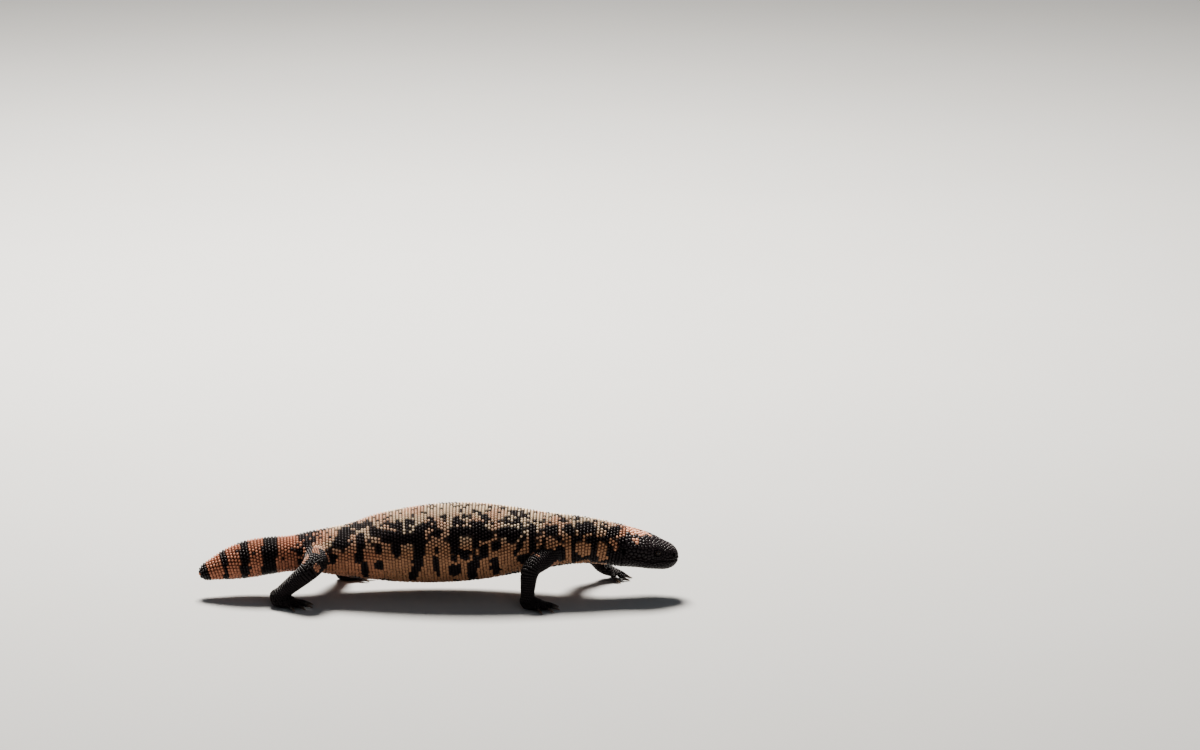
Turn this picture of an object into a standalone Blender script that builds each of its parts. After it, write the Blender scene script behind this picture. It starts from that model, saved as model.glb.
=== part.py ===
"""A Gila monster in mid-stride, life size, as solids.

The head points to +X, the animal's left is +Y, and its soles stand on z = 0. The flesh is made
as runs: a centre line with an oval section that changes along it. Every third ring of a run is
lifted into scutes, the coarse form of the animal's bead-like scales. All sizes are in metres.
"""

import math

import bmesh
import bpy
import numpy as np
from mathutils import Vector
from mathutils.bvhtree import BVHTree

# Driving dimensions
SNOUT_X = 0.2000
TAIL_X = -0.19975
GAP = 0.0003
SCUTE_RISE = 0.0004
SCUTE_SINK = 0.0008
EYE_RADIUS = 0.0026
EYE_SPOT = Vector((0.1822, 0.0139, 0.0395))
CLAW_LENGTH = 0.0066
CLAW_REACH = 0.88
CLAW_ROOT = (0.0008, 0.0012)
CLAW_TIP_RADIUS = 0.0003
FLOOR_Z = 0.0
FLOOR_CLEARANCE = 0.0004
UNDER_FLOOR_SIZE = 0.2

# Where the trunk is parted, from the tail's tip to the back of the head
TAIL_TIP_END = -0.1730
TAIL_MIDDLE_END = -0.1465
VENT_X = -0.1190
HIPS_END = -0.0450
BELLY_END = 0.0450
CHEST_END = 0.1180
NAPE_X = 0.1450
HEAD_WIDEST_X = 0.1680

# Spacing of the scutes along and round each run. Rows of equal hexagons lie a pitch over
# the root of twelve apart.
TORSO_PITCH = 0.0079
TAIL_PITCH = 0.0065
NECK_PITCH = 0.0066
HEAD_PITCH = 0.0056
LIMB_PITCH = 0.0062
ROWS_IN_PITCH = math.sqrt(12)

# Below the flanks the scales are wider and flatter. Levels are shares of the half height.
BELLY_WEIGHT = 0.5
BELLY_FROM, BELLY_BLEND = -0.25, 0.35
BELLY_STRENGTH = 0.2
BELLY_EDGE, BELLY_FADE = -0.45, 0.3

# Scutes die out round a limb's root, at an ankle, at the nape and along the lips
ROOT_BARE, ROOT_FADE = 1.15, 0.004
ANKLE_BARE, ANKLE_FADE = 1.2, 0.004
NAPE_FADE = 0.002
LIP_FADE = 0.004
HEAD_RELIEF, LEAST_RELIEF = 0.7, 0.15

# The trunk's stations: x, centre height, sway to the left, half width, half height
TRUNK = np.array((
    (-0.2000, 0.0178, -0.0060, 0.0064, 0.0062),
    (-0.1900, 0.0216, -0.0050, 0.0088, 0.0085),
    (-0.1734, 0.0269, -0.0030, 0.0136, 0.0132),
    (-0.1600, 0.0301, -0.0014, 0.0160, 0.0154),
    (-0.1376, 0.0336, 0.0002, 0.0168, 0.0153),
    (-0.1210, 0.0350, 0.0008, 0.0178, 0.0147),
    (-0.1044, 0.0366, 0.0012, 0.0218, 0.0167),
    (-0.0852, 0.0371, 0.0018, 0.0256, 0.0198),
    (-0.0661, 0.0378, 0.0024, 0.0284, 0.0235),
    (-0.0495, 0.0398, 0.0029, 0.0311, 0.0274),
    (-0.0220, 0.0418, 0.0035, 0.0343, 0.0311),
    (0.0054, 0.0436, 0.0036, 0.0352, 0.0327),
    (0.0328, 0.0449, 0.0030, 0.0346, 0.0316),
    (0.0611, 0.0460, 0.0020, 0.0318, 0.0277),
    (0.0886, 0.0465, 0.0008, 0.0272, 0.0229),
    (0.1160, 0.0470, 0.0000, 0.0224, 0.0197),
    (0.1320, 0.0455, 0.0000, 0.0191, 0.0186),
    (0.1434, 0.0434, 0.0000, 0.0186, 0.0179),
    (0.1560, 0.0413, 0.0000, 0.0202, 0.0168),
    (0.1700, 0.0386, 0.0000, 0.0205, 0.0149),
    (0.1850, 0.0343, 0.0000, 0.0164, 0.0124),
    (0.1930, 0.0329, 0.0000, 0.0140, 0.0110),
    (0.2000, 0.0322, 0.0000, 0.0118, 0.0098),
))
TAIL_ROUNDING, TAIL_BLUNTNESS = 0.0080, 2.0
SNOUT_ROUNDING, SNOUT_BLUNTNESS = 0.0110, 2.3
SQUARENESS = 2.15
OUTLINE_POINTS = 241

# The head's swellings and hollows: x, side, height, reach, and how far the surface moves out
HEAD_FORMS = (
    (0.1812, 0.0136, 0.0438, 0.0042, 0.0010),
    (0.1825, 0.0162, 0.0391, 0.0040, -0.0011),
    (0.1670, 0.0195, 0.0420, 0.0085, 0.0012),
    (0.1730, 0.0160, 0.0280, 0.0075, 0.0011),
    (0.1905, 0.0105, 0.0402, 0.0045, -0.0006),
    (0.1640, 0.0000, 0.0545, 0.0055, -0.0008),
)
HEAD_AXIS_RISE = 0.004

# The line of the mouth is where rays from the jaw's centre leave the head, swung to each side
MOUTH_CENTRE = Vector((0.1780, 0.0, 0.0334))
MOUTH_SLOPE = -0.115
MOUTH_WAVE = 0.0007
MOUTH_SWING = math.radians(132)
MOUTH_RADIUS = 0.0005
MOUTH_POINTS = 33

# Openings: where a ray starts, its way on the left side, the ball's radius and its stretch
NOSTRIL = (Vector((0.1900, 0.0, 0.0352)), (0.62, 1.0, 0.10), 0.0010, (1.2, 1.0, 0.9))
EAR = (Vector((0.1535, 0.0, 0.0420)), (0.0, 1.0, 0.0), 0.0012, (0.8, 0.8, 2.0))

# Lids: the way the eye looks out on the left side, and the rim's size against the eyeball
GAZE = (0.18, 1.0, 0.12)
LID_FORWARD = 0.0011
LID_RADIUS = 0.0009
LID_WIDTH, LID_HEIGHT = 1.12, 0.92
LID_POINTS = 13

# Limbs: root, bend and end joints, half widths there, and how the foot is set
FORE_RADII = (0.0104, 0.0079, 0.0056)
HIND_RADII = (0.0122, 0.0088, 0.0060)
BEND_RADIUS = 0.0125
PARTING_PAST_BEND = 0.0010
LIMBS = {
    "right_fore": {
        "joints": ((0.0970, -0.0150, 0.0425), (0.0760, -0.0395, 0.0330), (0.0738, -0.0445, 0.0072)),
        "radii": FORE_RADII,
        "heading": -10,
        "foot": (0.0785, -0.0452, 0.0),
        "lift": 0.0,
    },
    "left_fore": {
        "joints": ((0.1030, 0.0150, 0.0420), (0.1125, 0.0385, 0.0325), (0.1325, 0.0445, 0.0160)),
        "radii": FORE_RADII,
        "heading": 8,
        "foot": (0.1385, 0.0455, 0.0),
        "lift": 0.0075,
    },
    "right_hind": {
        "joints": ((-0.0990, -0.0130, 0.0375), (-0.1040, -0.0400, 0.0330), (-0.1325, -0.0375, 0.0088)),
        "radii": HIND_RADII,
        "heading": -13,
        "foot": (-0.1275, -0.0378, 0.0),
        "lift": 0.0,
    },
    "left_hind": {
        "joints": ((-0.0960, 0.0150, 0.0370), (-0.0880, 0.0395, 0.0330), (-0.0815, 0.0432, 0.0095)),
        "radii": HIND_RADII,
        "heading": 16,
        "foot": (-0.0765, 0.0450, 0.0),
        "lift": 0.0,
    },
}
LIMB_PARTS = {
    "right_fore": ("right_upper_arm", "right_forearm", "right_hand"),
    "left_fore": ("left_upper_arm", "left_forearm", "left_hand"),
    "right_hind": ("right_thigh", "right_shank", "right_foot"),
    "left_hind": ("left_thigh", "left_shank", "left_foot"),
}

# Half length, width and height of the sole, then each digit's turn in degrees and its reach
FORE_SOLE = (0.0098, 0.0086, 0.0052)
HIND_SOLE = (0.0112, 0.0088, 0.0054)
FORE_DIGITS = ((-52, 0.0150), (-25, 0.0180), (-2, 0.0190), (20, 0.0180), (46, 0.0148))
HIND_DIGITS = ((-44, 0.0160), (-20, 0.0190), (0, 0.0208), (20, 0.0206), (50, 0.0150))
ANKLE_SWELL = 1.12
FLAT_DEPTH = 0.0005
HEEL_WIDTH = 0.80
TOE_HEIGHT = 0.75
HEEL_LIFT = 1.35
SOLE_STEP, SOLE_SIDES = 0.0026, 12

# Digits start inside the sole, arch over a knuckle and come down to their tips
DIGIT_RADIUS = 0.0029
DIGIT_TIP_RADIUS = 0.0021
DIGIT_TIP_CLEARANCE = 0.0006
DIGIT_START = 0.15
DIGIT_LIFT, KNUCKLE_LIFT = 0.60, 0.45
KNUCKLE_RISE = 0.0012
LEAST_ARCH = 0.0006
DIGIT_STEP, DIGIT_SIDES = 0.0028, 7
CLAW_STEP, CLAW_SIDES = 0.0013, 6

COLOURS = {
    "scutes": ((0.62, 0.33, 0.22, 1.0), 0.55),
    "dark_skin": ((0.045, 0.030, 0.028, 1.0), 0.60),
    "claw_horn": ((0.030, 0.022, 0.020, 1.0), 0.35),
    "eye": ((0.010, 0.008, 0.007, 1.0), 0.08),
}


def clear_scene():
    for old in list(bpy.data.objects):
        bpy.data.objects.remove(old, do_unlink=True)


def collection(name, hidden=False):
    made = bpy.data.collections.new(name)
    bpy.context.scene.collection.children.link(made)
    made.hide_render = hidden
    return made


def material_for(name, finish):
    """Each node has a material of its own, in one of the four finishes."""
    colour, roughness = COLOURS[finish]
    made = bpy.data.materials.new(name + "_" + finish)
    made.use_nodes = True
    shader = made.node_tree.nodes["Principled BSDF"]
    shader.inputs["Base Color"].default_value = colour
    shader.inputs["Roughness"].default_value = roughness
    shader.inputs["Metallic"].default_value = 0.0
    made.diffuse_color = colour
    return made


def object_of(mesh_builder, name, where):
    """An object of the bmesh's surface, its faces turned outwards."""
    bmesh.ops.recalc_face_normals(mesh_builder, faces=mesh_builder.faces)
    mesh = bpy.data.meshes.new(name)
    mesh_builder.to_mesh(mesh)
    mesh_builder.free()
    made = bpy.data.objects.new(name, mesh)
    where.objects.link(made)
    return made


def smooth_through(knots, values, at):
    """Values at the given places, on a smooth curve through the knots."""
    knots, values = np.asarray(knots, float), np.asarray(values, float)
    slopes = np.gradient(values, knots, axis=0)
    at = np.clip(np.asarray(at, float), knots[0], knots[-1])
    low = np.clip(np.searchsorted(knots, at) - 1, 0, len(knots) - 2)
    span = (knots[low + 1] - knots[low])[:, None]
    t = (at - knots[low])[:, None] / span
    start, end = values[low], values[low + 1]
    return (
        (2 * t**3 - 3 * t**2 + 1) * start
        + (t**3 - 2 * t**2 + t) * span * slopes[low]
        + (3 * t**2 - 2 * t**3) * end
        + (t**3 - t**2) * span * slopes[low + 1]
    )


def unit(vectors):
    return vectors / np.linalg.norm(vectors, axis=-1, keepdims=True)


class Run:
    """A length of flesh: a centre line, and an oval section square to it that changes along it."""

    def __init__(self, centres, halves, side, squareness=2.0, belly_weight=1.0):
        self.centres = np.asarray(centres, float)
        self.halves = np.asarray(halves, float)
        self.squareness = squareness
        self.belly_weight = belly_weight
        self.tangents = unit(np.gradient(self.centres, axis=0))
        side = np.asarray(side, float)
        along = (self.tangents @ side)[:, None] * self.tangents
        self.sides = unit(side - along)
        self.ups = np.cross(self.tangents, self.sides)
        steps = np.linalg.norm(np.diff(self.centres, axis=0), axis=1)
        slope = np.diff(self.halves.mean(axis=1))
        self.along = np.concatenate([[0.0], np.cumsum(steps)])
        self.surface = np.concatenate([[0.0], np.cumsum(np.hypot(steps, slope))])

    def at(self, along, field):
        columns = [np.interp(along, self.along, column) for column in field.T]
        return np.array(columns)

    def along_at_x(self, x):
        return float(np.interp(x, self.centres[:, 0], self.along))

    def evenly(self, start, end, step, fewest=2):
        """Places from start to end that are even along the surface, a multiple of three steps."""
        low, high = np.interp((start, end), self.along, self.surface)
        count = 3 * max(fewest, round((high - low) / step / 3))
        return np.interp(np.linspace(low, high, count + 1), self.surface, self.along)

    def outline(self, along):
        """The section's centre and a dense outline, as sideways and upward offsets from it."""
        half_width, half_height = self.at(along, self.halves)
        angle = np.linspace(0, 2 * math.pi, OUTLINE_POINTS)
        power = 2 / self.squareness
        sideways = half_width * np.sign(np.sin(angle)) * np.abs(np.sin(angle)) ** power
        upward = half_height * np.sign(np.cos(angle)) * np.abs(np.cos(angle)) ** power
        return sideways, upward

    def girth(self, along):
        sideways, upward = self.outline(along)
        step = np.hypot(np.diff(sideways), np.diff(upward))
        mean_height = (upward[1:] + upward[:-1]) / 2 / max(abs(upward))
        low = np.clip((BELLY_FROM - mean_height) / BELLY_BLEND, 0, 1)
        return np.concatenate([[0.0], np.cumsum(step * (1 - low * (1 - self.belly_weight)))])

    def scute_strength(self, along, points):
        """One on the back and flanks, falling to the belly's flat scales."""
        centre, up = self.at(along, self.centres), unit(self.at(along, self.ups))
        level = (points - centre) @ up / self.at(along, self.halves)[1]
        return np.clip(1 + (level - BELLY_EDGE) / BELLY_FADE, BELLY_STRENGTH, 1)

    def ring(self, along, turns, stand):
        """Points round the section, from the back over the left side, standing off it by stand."""
        sideways, upward = self.outline(along)
        girth = self.girth(along)
        places = np.mod(turns, 1.0) * girth[-1]
        y, z = np.interp(places, girth, sideways), np.interp(places, girth, upward)
        half_width, half_height = self.at(along, self.halves)
        out = unit(np.stack([y / half_width**2, z / half_height**2], axis=1) + 1e-12)
        y, z = y + out[:, 0] * stand, z + out[:, 1] * stand
        centre = self.at(along, self.centres)
        side, up = unit(self.at(along, self.sides)), unit(self.at(along, self.ups))
        return centre + y[:, None] * side + z[:, None] * up


def lattice(run, start, end, step, count, rise, sink, fade=None, form=None, grow=0.0):
    """A closed bmesh between two places on a run. Rings are staggered by half a step, and every
    third one stands up into scutes, so that each scute has six low neighbours."""
    places = run.evenly(start, end, step)
    made = bmesh.new()
    rings = []
    for k, along in enumerate(places):
        turns = (np.arange(count) + 0.5 * (k % 2)) / count
        plain = run.ring(along, turns, 0.0)
        strength = run.scute_strength(along, plain)
        if fade is not None:
            strength = strength * fade(plain)
        stand = np.where(k % 3 == 1, rise, -sink) * strength + grow
        points = run.ring(along, turns, stand)
        if form is not None:
            points = form(points)
        rings.append([made.verts.new(point) for point in points])
    last = len(rings) - 1
    for k in range(last):
        shift = k % 2
        for j in range(count):
            left, right = rings[k + 1][(j - 1 + shift) % count], rings[k + 1][(j + shift) % count]
            if k < last - 1:
                made.faces.new((rings[k][j], rings[k + 2][j], right))
                made.faces.new((rings[k][j], left, rings[k + 2][j]))
    for j in range(count):
        made.faces.new((rings[0][j], rings[1][j], rings[0][(j + 1) % count]))
        before = rings[last - 1][(j + last % 2) % count]
        made.faces.new((rings[last][j], rings[last][(j + 1) % count], before))
    made.faces.new(rings[0])
    made.faces.new(reversed(rings[last]))
    return made


def count_for(run, along, pitch):
    return max(6, round(run.girth(along)[-1] / pitch))


def boolean(target, other, operation):
    """Cuts or joins at once, and leaves the result as the target's own mesh."""
    modifier = target.modifiers.new("cut", "BOOLEAN")
    modifier.operation = operation
    modifier.solver = "EXACT"
    if isinstance(other, bpy.types.Collection):
        modifier.operand_type = "COLLECTION"
        modifier.collection = other
    else:
        modifier.object = other
    graph = bpy.context.evaluated_depsgraph_get()
    mesh = bpy.data.meshes.new_from_object(target.evaluated_get(graph))
    target.modifiers.clear()
    target.data = mesh
    keep_largest(target)


def keep_largest(target):
    """Only the largest closed surface stays, and points that a cut left together are welded."""
    work = bmesh.new()
    work.from_mesh(target.data)
    bmesh.ops.remove_doubles(work, verts=work.verts, dist=1e-6)
    bmesh.ops.triangulate(work, faces=work.faces)
    work.faces.ensure_lookup_table()
    unseen, pieces = set(work.faces), []
    while unseen:
        piece, edge = [], [unseen.pop()]
        while edge:
            face = edge.pop()
            piece.append(face)
            for side in face.edges:
                for beside in side.link_faces:
                    if beside in unseen:
                        unseen.remove(beside)
                        edge.append(beside)
        pieces.append(piece)
    pieces.sort(key=lambda piece: -abs(sum(tetrahedron(face) for face in piece)))
    scraps = [face for piece in pieces[1:] for face in piece]
    bmesh.ops.delete(work, geom=scraps, context="FACES")
    work.to_mesh(target.data)
    work.free()


def tetrahedron(face):
    a, b, c = (corner.co for corner in face.verts)
    return a.dot(b.cross(c)) / 6


def drop(*helpers):
    for helper in helpers:
        bpy.data.objects.remove(helper, do_unlink=True)


def finish(node, look):
    node.data.materials.clear()
    node.data.materials.append(material_for(node.name, look))
    for polygon in node.data.polygons:
        polygon.use_smooth = False


def trunk_run():
    """The whole body from the tail's tip to the snout, rounded off at both ends."""
    x = np.concatenate([
        TAIL_X + 0.00002 + TAIL_ROUNDING * (1 - np.cos(np.linspace(0.10, 1.5, 24))),
        np.linspace(TAIL_X + TAIL_ROUNDING, SNOUT_X - SNOUT_ROUNDING, 420),
        SNOUT_X - 0.00002 - SNOUT_ROUNDING * (1 - np.cos(np.linspace(1.5, 0.10, 24))),
    ])
    height, sway, half_width, half_height = smooth_through(TRUNK[:, 0], TRUNK[:, 1:], x).T
    to_tail = np.clip((TAIL_X + TAIL_ROUNDING - x) / TAIL_ROUNDING, 0, 1)
    to_snout = np.clip((x - SNOUT_X + SNOUT_ROUNDING) / SNOUT_ROUNDING, 0, 1)
    taper = (1 - to_tail**TAIL_BLUNTNESS) ** (1 / TAIL_BLUNTNESS)
    taper *= (1 - to_snout**SNOUT_BLUNTNESS) ** (1 / SNOUT_BLUNTNESS)
    centres = np.stack([x, sway, height], axis=1)
    halves = np.stack([half_width * taper, half_height * taper], axis=1)
    return Run(centres, halves, (0, 1, 0), SQUARENESS, BELLY_WEIGHT)


def near_limb_roots(points):
    """Nought where a limb grows from the body, and one away from it."""
    strength = np.ones(len(points))
    for limb in LIMBS.values():
        root, bend = (np.array(joint) for joint in limb["joints"][:2])
        way = unit(bend - root)
        beyond = points - root
        off_axis = np.linalg.norm(beyond - (beyond @ way)[:, None] * way, axis=1)
        same_side = points[:, 1] * root[1] > 0
        clear = np.clip((off_axis - limb["radii"][0] * ROOT_BARE) / ROOT_FADE, 0, 1)
        strength = np.where(same_side, np.minimum(strength, clear), strength)
    return strength


def head_form(points):
    """Brows, eye hollows, temples, jowls, canthus and the furrow of the crown."""
    points = points.copy()
    axis = np.zeros_like(points)
    axis[:, 0] = np.minimum(points[:, 0], MOUTH_CENTRE.x)
    axis[:, 2] = MOUTH_CENTRE.z + HEAD_AXIS_RISE
    out = unit(points - axis)
    for x, y, z, reach, rise in HEAD_FORMS:
        for mirrored in (y, -y) if y else (0.0,):
            away = np.linalg.norm(points - np.array((x, mirrored, z)), axis=1)
            points += out * (rise * np.exp(-((away / reach) ** 2)))[:, None]
    return points


def tube(points, radius, sides, name, where):
    """A closed tube of one radius along the points."""
    curve = bpy.data.curves.new(name, "CURVE")
    curve.dimensions = "3D"
    curve.bevel_depth = radius
    curve.bevel_resolution = sides // 2 - 2
    curve.use_fill_caps = True
    spline = curve.splines.new("POLY")
    spline.points.add(len(points) - 1)
    for at, point in zip(spline.points, points):
        at.co = (*point, 1.0)
    drawn = bpy.data.objects.new(name, curve)
    where.objects.link(drawn)
    graph = bpy.context.evaluated_depsgraph_get()
    mesh = bpy.data.meshes.new_from_object(drawn.evaluated_get(graph))
    made = bpy.data.objects.new(name, mesh)
    where.objects.link(made)
    work = bmesh.new()
    work.from_mesh(mesh)
    bmesh.ops.remove_doubles(work, verts=work.verts, dist=1e-6)
    bmesh.ops.recalc_face_normals(work, faces=work.faces)
    work.to_mesh(mesh)
    work.free()
    drop(drawn)
    return made


def ball(centre, radius, name, where, stretch=(1, 1, 1), rings=8, segments=14):
    work = bmesh.new()
    bmesh.ops.create_uvsphere(work, u_segments=segments, v_segments=rings, radius=radius)
    for corner in work.verts:
        corner.co = Vector(centre) + Vector(c * s for c, s in zip(corner.co, stretch))
    return object_of(work, name, where)


def make_trunk(trunk, flesh):
    """Tail, hips, belly, chest and neck, parted square to the spine."""
    lengths = (
        ("tail_tip", TAIL_X, TAIL_TIP_END, TAIL_PITCH),
        ("tail_middle", TAIL_TIP_END, TAIL_MIDDLE_END, TAIL_PITCH),
        ("tail_base", TAIL_MIDDLE_END, VENT_X, TAIL_PITCH),
        ("hips", VENT_X, HIPS_END, TORSO_PITCH),
        ("belly", HIPS_END, BELLY_END, TORSO_PITCH),
        ("chest", BELLY_END, CHEST_END, TORSO_PITCH),
        ("neck", CHEST_END, NAPE_X, NECK_PITCH),
    )
    for name, start_x, end_x, pitch in lengths:
        start = trunk.along_at_x(start_x) + (GAP / 2 if start_x > TAIL_X else 0)
        end = trunk.along_at_x(end_x) - GAP / 2
        count = count_for(trunk, (start + end) / 2, pitch)
        step = pitch / ROWS_IN_PITCH
        work = lattice(trunk, start, end, step, count, SCUTE_RISE, SCUTE_SINK, near_limb_roots)
        finish(object_of(work, name, flesh), "scutes")


def root_cutter(trunk, start_x, end_x, cutters):
    """The same length of torso one gap larger, which parts a limb from it."""
    start = trunk.along_at_x(start_x) + GAP / 2
    end = trunk.along_at_x(end_x) - GAP / 2
    count = count_for(trunk, (start + end) / 2, TORSO_PITCH)
    step = TORSO_PITCH / ROWS_IN_PITCH
    work = lattice(
        trunk, start, end, step, count, SCUTE_RISE, SCUTE_SINK, near_limb_roots, grow=GAP
    )
    return object_of(work, "grown_torso", cutters)


def bent_path(joints, radius):
    """Dense points from joint to joint, with the bend between them rounded."""
    root, bend, end = (np.array(joint) for joint in joints)
    into, out = unit(bend - root), unit(end - bend)
    turn = math.acos(float(np.clip(into @ out, -1, 1)))
    back = radius * math.tan(turn / 2)
    start, finish_at = bend - into * back, bend + out * back
    t = np.linspace(0, 1, 25)[:, None]
    arc = (1 - t) ** 2 * start + 2 * t * (1 - t) * bend + t**2 * finish_at
    dense = np.concatenate([[root], arc, [end]])
    along = np.concatenate([[0], np.cumsum(np.linalg.norm(np.diff(dense, axis=0), axis=1))])
    even = np.linspace(0, along[-1], 90)
    path = np.stack([np.interp(even, along, dense[:, i]) for i in range(3)], axis=1)
    return path, even, float(along[13]), float(along[25]) + PARTING_PAST_BEND


def limb_run(limb):
    path, even, bend_at, parting = bent_path(limb["joints"], BEND_RADIUS)
    radii = smooth_through((0, bend_at, even[-1]), np.array(limb["radii"])[:, None], even)
    root, bend, end = (np.array(joint) for joint in limb["joints"])
    side = unit(np.cross(bend - root, end - bend))
    return Run(path, np.repeat(radii, 2, axis=1), side), parting


def foot_axes(limb):
    """The foot's heading, and its ways ahead and to its left."""
    heading = math.radians(limb["heading"])
    ahead = np.array((math.cos(heading), math.sin(heading), 0))
    return heading, ahead, np.array((-ahead[1], ahead[0], 0))


def sole_and_ankle(limb, sole, cutters, grow=0.0):
    """The sole's rounded pad, which rises to the heel in a lifted foot, and the ankle's ball."""
    _, ahead, across = foot_axes(limb)
    half_length, half_width, half_height = sole
    middle = np.array(limb["foot"]) + np.array((0, 0, half_height - FLAT_DEPTH))
    t = np.sin(np.linspace(-1, 1, 41) * math.pi / 2)
    rounding = np.sqrt(np.maximum(1 - np.abs(t) ** 3, 0.01))
    rise = limb["lift"] * HEEL_LIFT * (1 - t) / 2
    centres = middle + np.outer(t * half_length, ahead) + np.outer(rise, (0, 0, 1))
    widths = half_width * rounding * (HEEL_WIDTH + (1 - HEEL_WIDTH) * np.clip(t + 1, 0, 1))
    heights = half_height * rounding * (1 - (1 - TOE_HEIGHT) * np.clip(t, 0, 1))
    pad = Run(centres, np.stack([widths, heights], axis=1) + grow, across)
    work = lattice(pad, 0, pad.along[-1], SOLE_STEP, SOLE_SIDES, 0, 0)
    radius = limb["radii"][-1] * ANKLE_SWELL + grow
    ankle = ball(limb["joints"][-1], radius, "ankle", cutters, rings=7, segments=10)
    return object_of(work, "sole", cutters), ankle


def digit_run(limb, sole, turn, reach):
    """One digit, arched over its knuckle, and its sideways direction."""
    heading, ahead, _ = foot_axes(limb)
    half_length, _, half_height = sole
    lift = limb["lift"]
    angle = heading + math.radians(turn)
    way = np.array((math.cos(angle), math.sin(angle), 0))
    sideways = np.array((-way[1], way[0], 0))
    start = np.array(limb["foot"]) - ahead * half_length * DIGIT_START
    start[2] += half_height - FLAT_DEPTH + lift * DIGIT_LIFT
    tip = start + way * reach
    tip[2] = DIGIT_TIP_RADIUS + DIGIT_TIP_CLEARANCE
    s = np.linspace(0, 1, 21)
    knuckle = DIGIT_RADIUS + KNUCKLE_RISE + lift * KNUCKLE_LIFT
    arch = max(knuckle - (start[2] + tip[2]) / 2, LEAST_ARCH)
    centre = start + np.outer(s, tip - start)
    centre[:, 2] += 4 * s * (1 - s) * arch
    radius = DIGIT_RADIUS + (DIGIT_TIP_RADIUS - DIGIT_RADIUS) * s
    return Run(centre, np.stack([radius, radius], axis=1), sideways), sideways


def make_claw(name, root, way, sideways, where):
    """A curved, pointed claw that starts one gap beyond its digit's end and clears the floor."""
    start = root + way * GAP
    level = unit(np.array((way[0], way[1], 0)))
    tip = start + level * CLAW_LENGTH * CLAW_REACH
    tip[2] = CLAW_TIP_RADIUS + FLOOR_CLEARANCE
    pull = start + way * CLAW_LENGTH / 2
    s = np.linspace(0, 1, 41)[:, None]
    centres = (1 - s) ** 2 * start + 2 * s * (1 - s) * pull + s**2 * tip
    thinning = 1 - s[:, 0] ** 1.5
    width = CLAW_ROOT[0] * thinning + CLAW_TIP_RADIUS
    height = CLAW_ROOT[1] * thinning + CLAW_TIP_RADIUS
    centres[:, 2] = np.maximum(centres[:, 2], height + FLOOR_CLEARANCE)
    claw = Run(centres, np.stack([width, height], axis=1), sideways)
    work = lattice(claw, 0, claw.along[-1], CLAW_STEP, CLAW_SIDES, 0, 0)
    finish(object_of(work, name, where), "claw_horn")


def make_foot(name, limb, sole, digits, flesh, cutters):
    """Sole, ankle and digits joined, flat where they stand, and the claws beyond the digits."""
    foot, ankle = sole_and_ankle(limb, sole, cutters)
    joined = collection("digits", hidden=True)
    cutters.objects.unlink(ankle)
    joined.objects.link(ankle)
    for i, (turn, reach) in enumerate(digits):
        digit, sideways = digit_run(limb, sole, turn, reach)
        work = lattice(digit, 0, digit.along[-1], DIGIT_STEP, DIGIT_SIDES, 0, 0)
        object_of(work, "digit", joined)
        way = unit(digit.centres[-1] - digit.centres[-2])
        make_claw(f"{name}_claw_{i + 1}", digit.centres[-1], way, sideways, flesh)
    boolean(foot, joined, "UNION")
    drop(*list(joined.objects))
    bpy.data.collections.remove(joined)

    work = bmesh.new()
    bmesh.ops.create_cube(work, size=UNDER_FLOOR_SIZE)
    for corner in work.verts:
        corner.co += Vector((*limb["foot"][:2], FLOOR_Z - UNDER_FLOOR_SIZE / 2))
    under = object_of(work, "under_floor", cutters)
    boolean(foot, under, "DIFFERENCE")
    drop(under)
    cutters.objects.unlink(foot)
    flesh.objects.link(foot)
    foot.name = name
    finish(foot, "dark_skin")


def make_limb(name, limb, torso_cutter, flesh, cutters):
    """Upper part, lower part, foot and claws of one limb."""
    upper_name, lower_name, foot_name = LIMB_PARTS[name]
    fore = name.endswith("fore")
    digits, sole = (FORE_DIGITS, FORE_SOLE) if fore else (HIND_DIGITS, HIND_SOLE)
    run, parting = limb_run(limb)
    step = LIMB_PITCH / ROWS_IN_PITCH
    count = count_for(run, parting, LIMB_PITCH)
    work = lattice(run, 0, parting - GAP / 2, step, count, SCUTE_RISE, SCUTE_SINK)
    upper = object_of(work, upper_name, flesh)
    boolean(upper, torso_cutter, "DIFFERENCE")
    finish(upper, "scutes")

    def bare_ankle(points):
        away = np.linalg.norm(points - np.array(limb["joints"][-1]), axis=1)
        return np.clip((away - limb["radii"][-1] * ANKLE_BARE) / ANKLE_FADE, 0, 1)

    start, end = parting + GAP / 2, run.along[-1]
    work = lattice(run, start, end, step, count, SCUTE_RISE, SCUTE_SINK, bare_ankle)
    lower = object_of(work, lower_name, flesh)
    grown = sole_and_ankle(limb, sole, cutters, GAP)
    for cutter in grown:
        boolean(lower, cutter, "DIFFERENCE")
    drop(*grown)
    finish(lower, "scutes")
    make_foot(foot_name, limb, sole, digits, flesh, cutters)


def on_side(place, side):
    """The place's mirror image on the given side, 1 for the left and -1 for the right."""
    return Vector((place[0], place[1] * side, place[2]))


def lid_points(side, tilt):
    """Points of one lid's rim, an arc round the front of the eyeball."""
    out = on_side(GAZE, side).normalized()
    level = Vector((0, 0, 1)).cross(out).normalized()
    up = out.cross(level)
    centre = on_side(EYE_SPOT, side) + out * LID_FORWARD
    angles = [math.pi * i / (LID_POINTS - 1) for i in range(LID_POINTS)]
    across, over = EYE_RADIUS * LID_WIDTH, tilt * EYE_RADIUS * LID_HEIGHT
    return [centre + level * math.cos(a) * across + up * math.sin(a) * over for a in angles]


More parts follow.
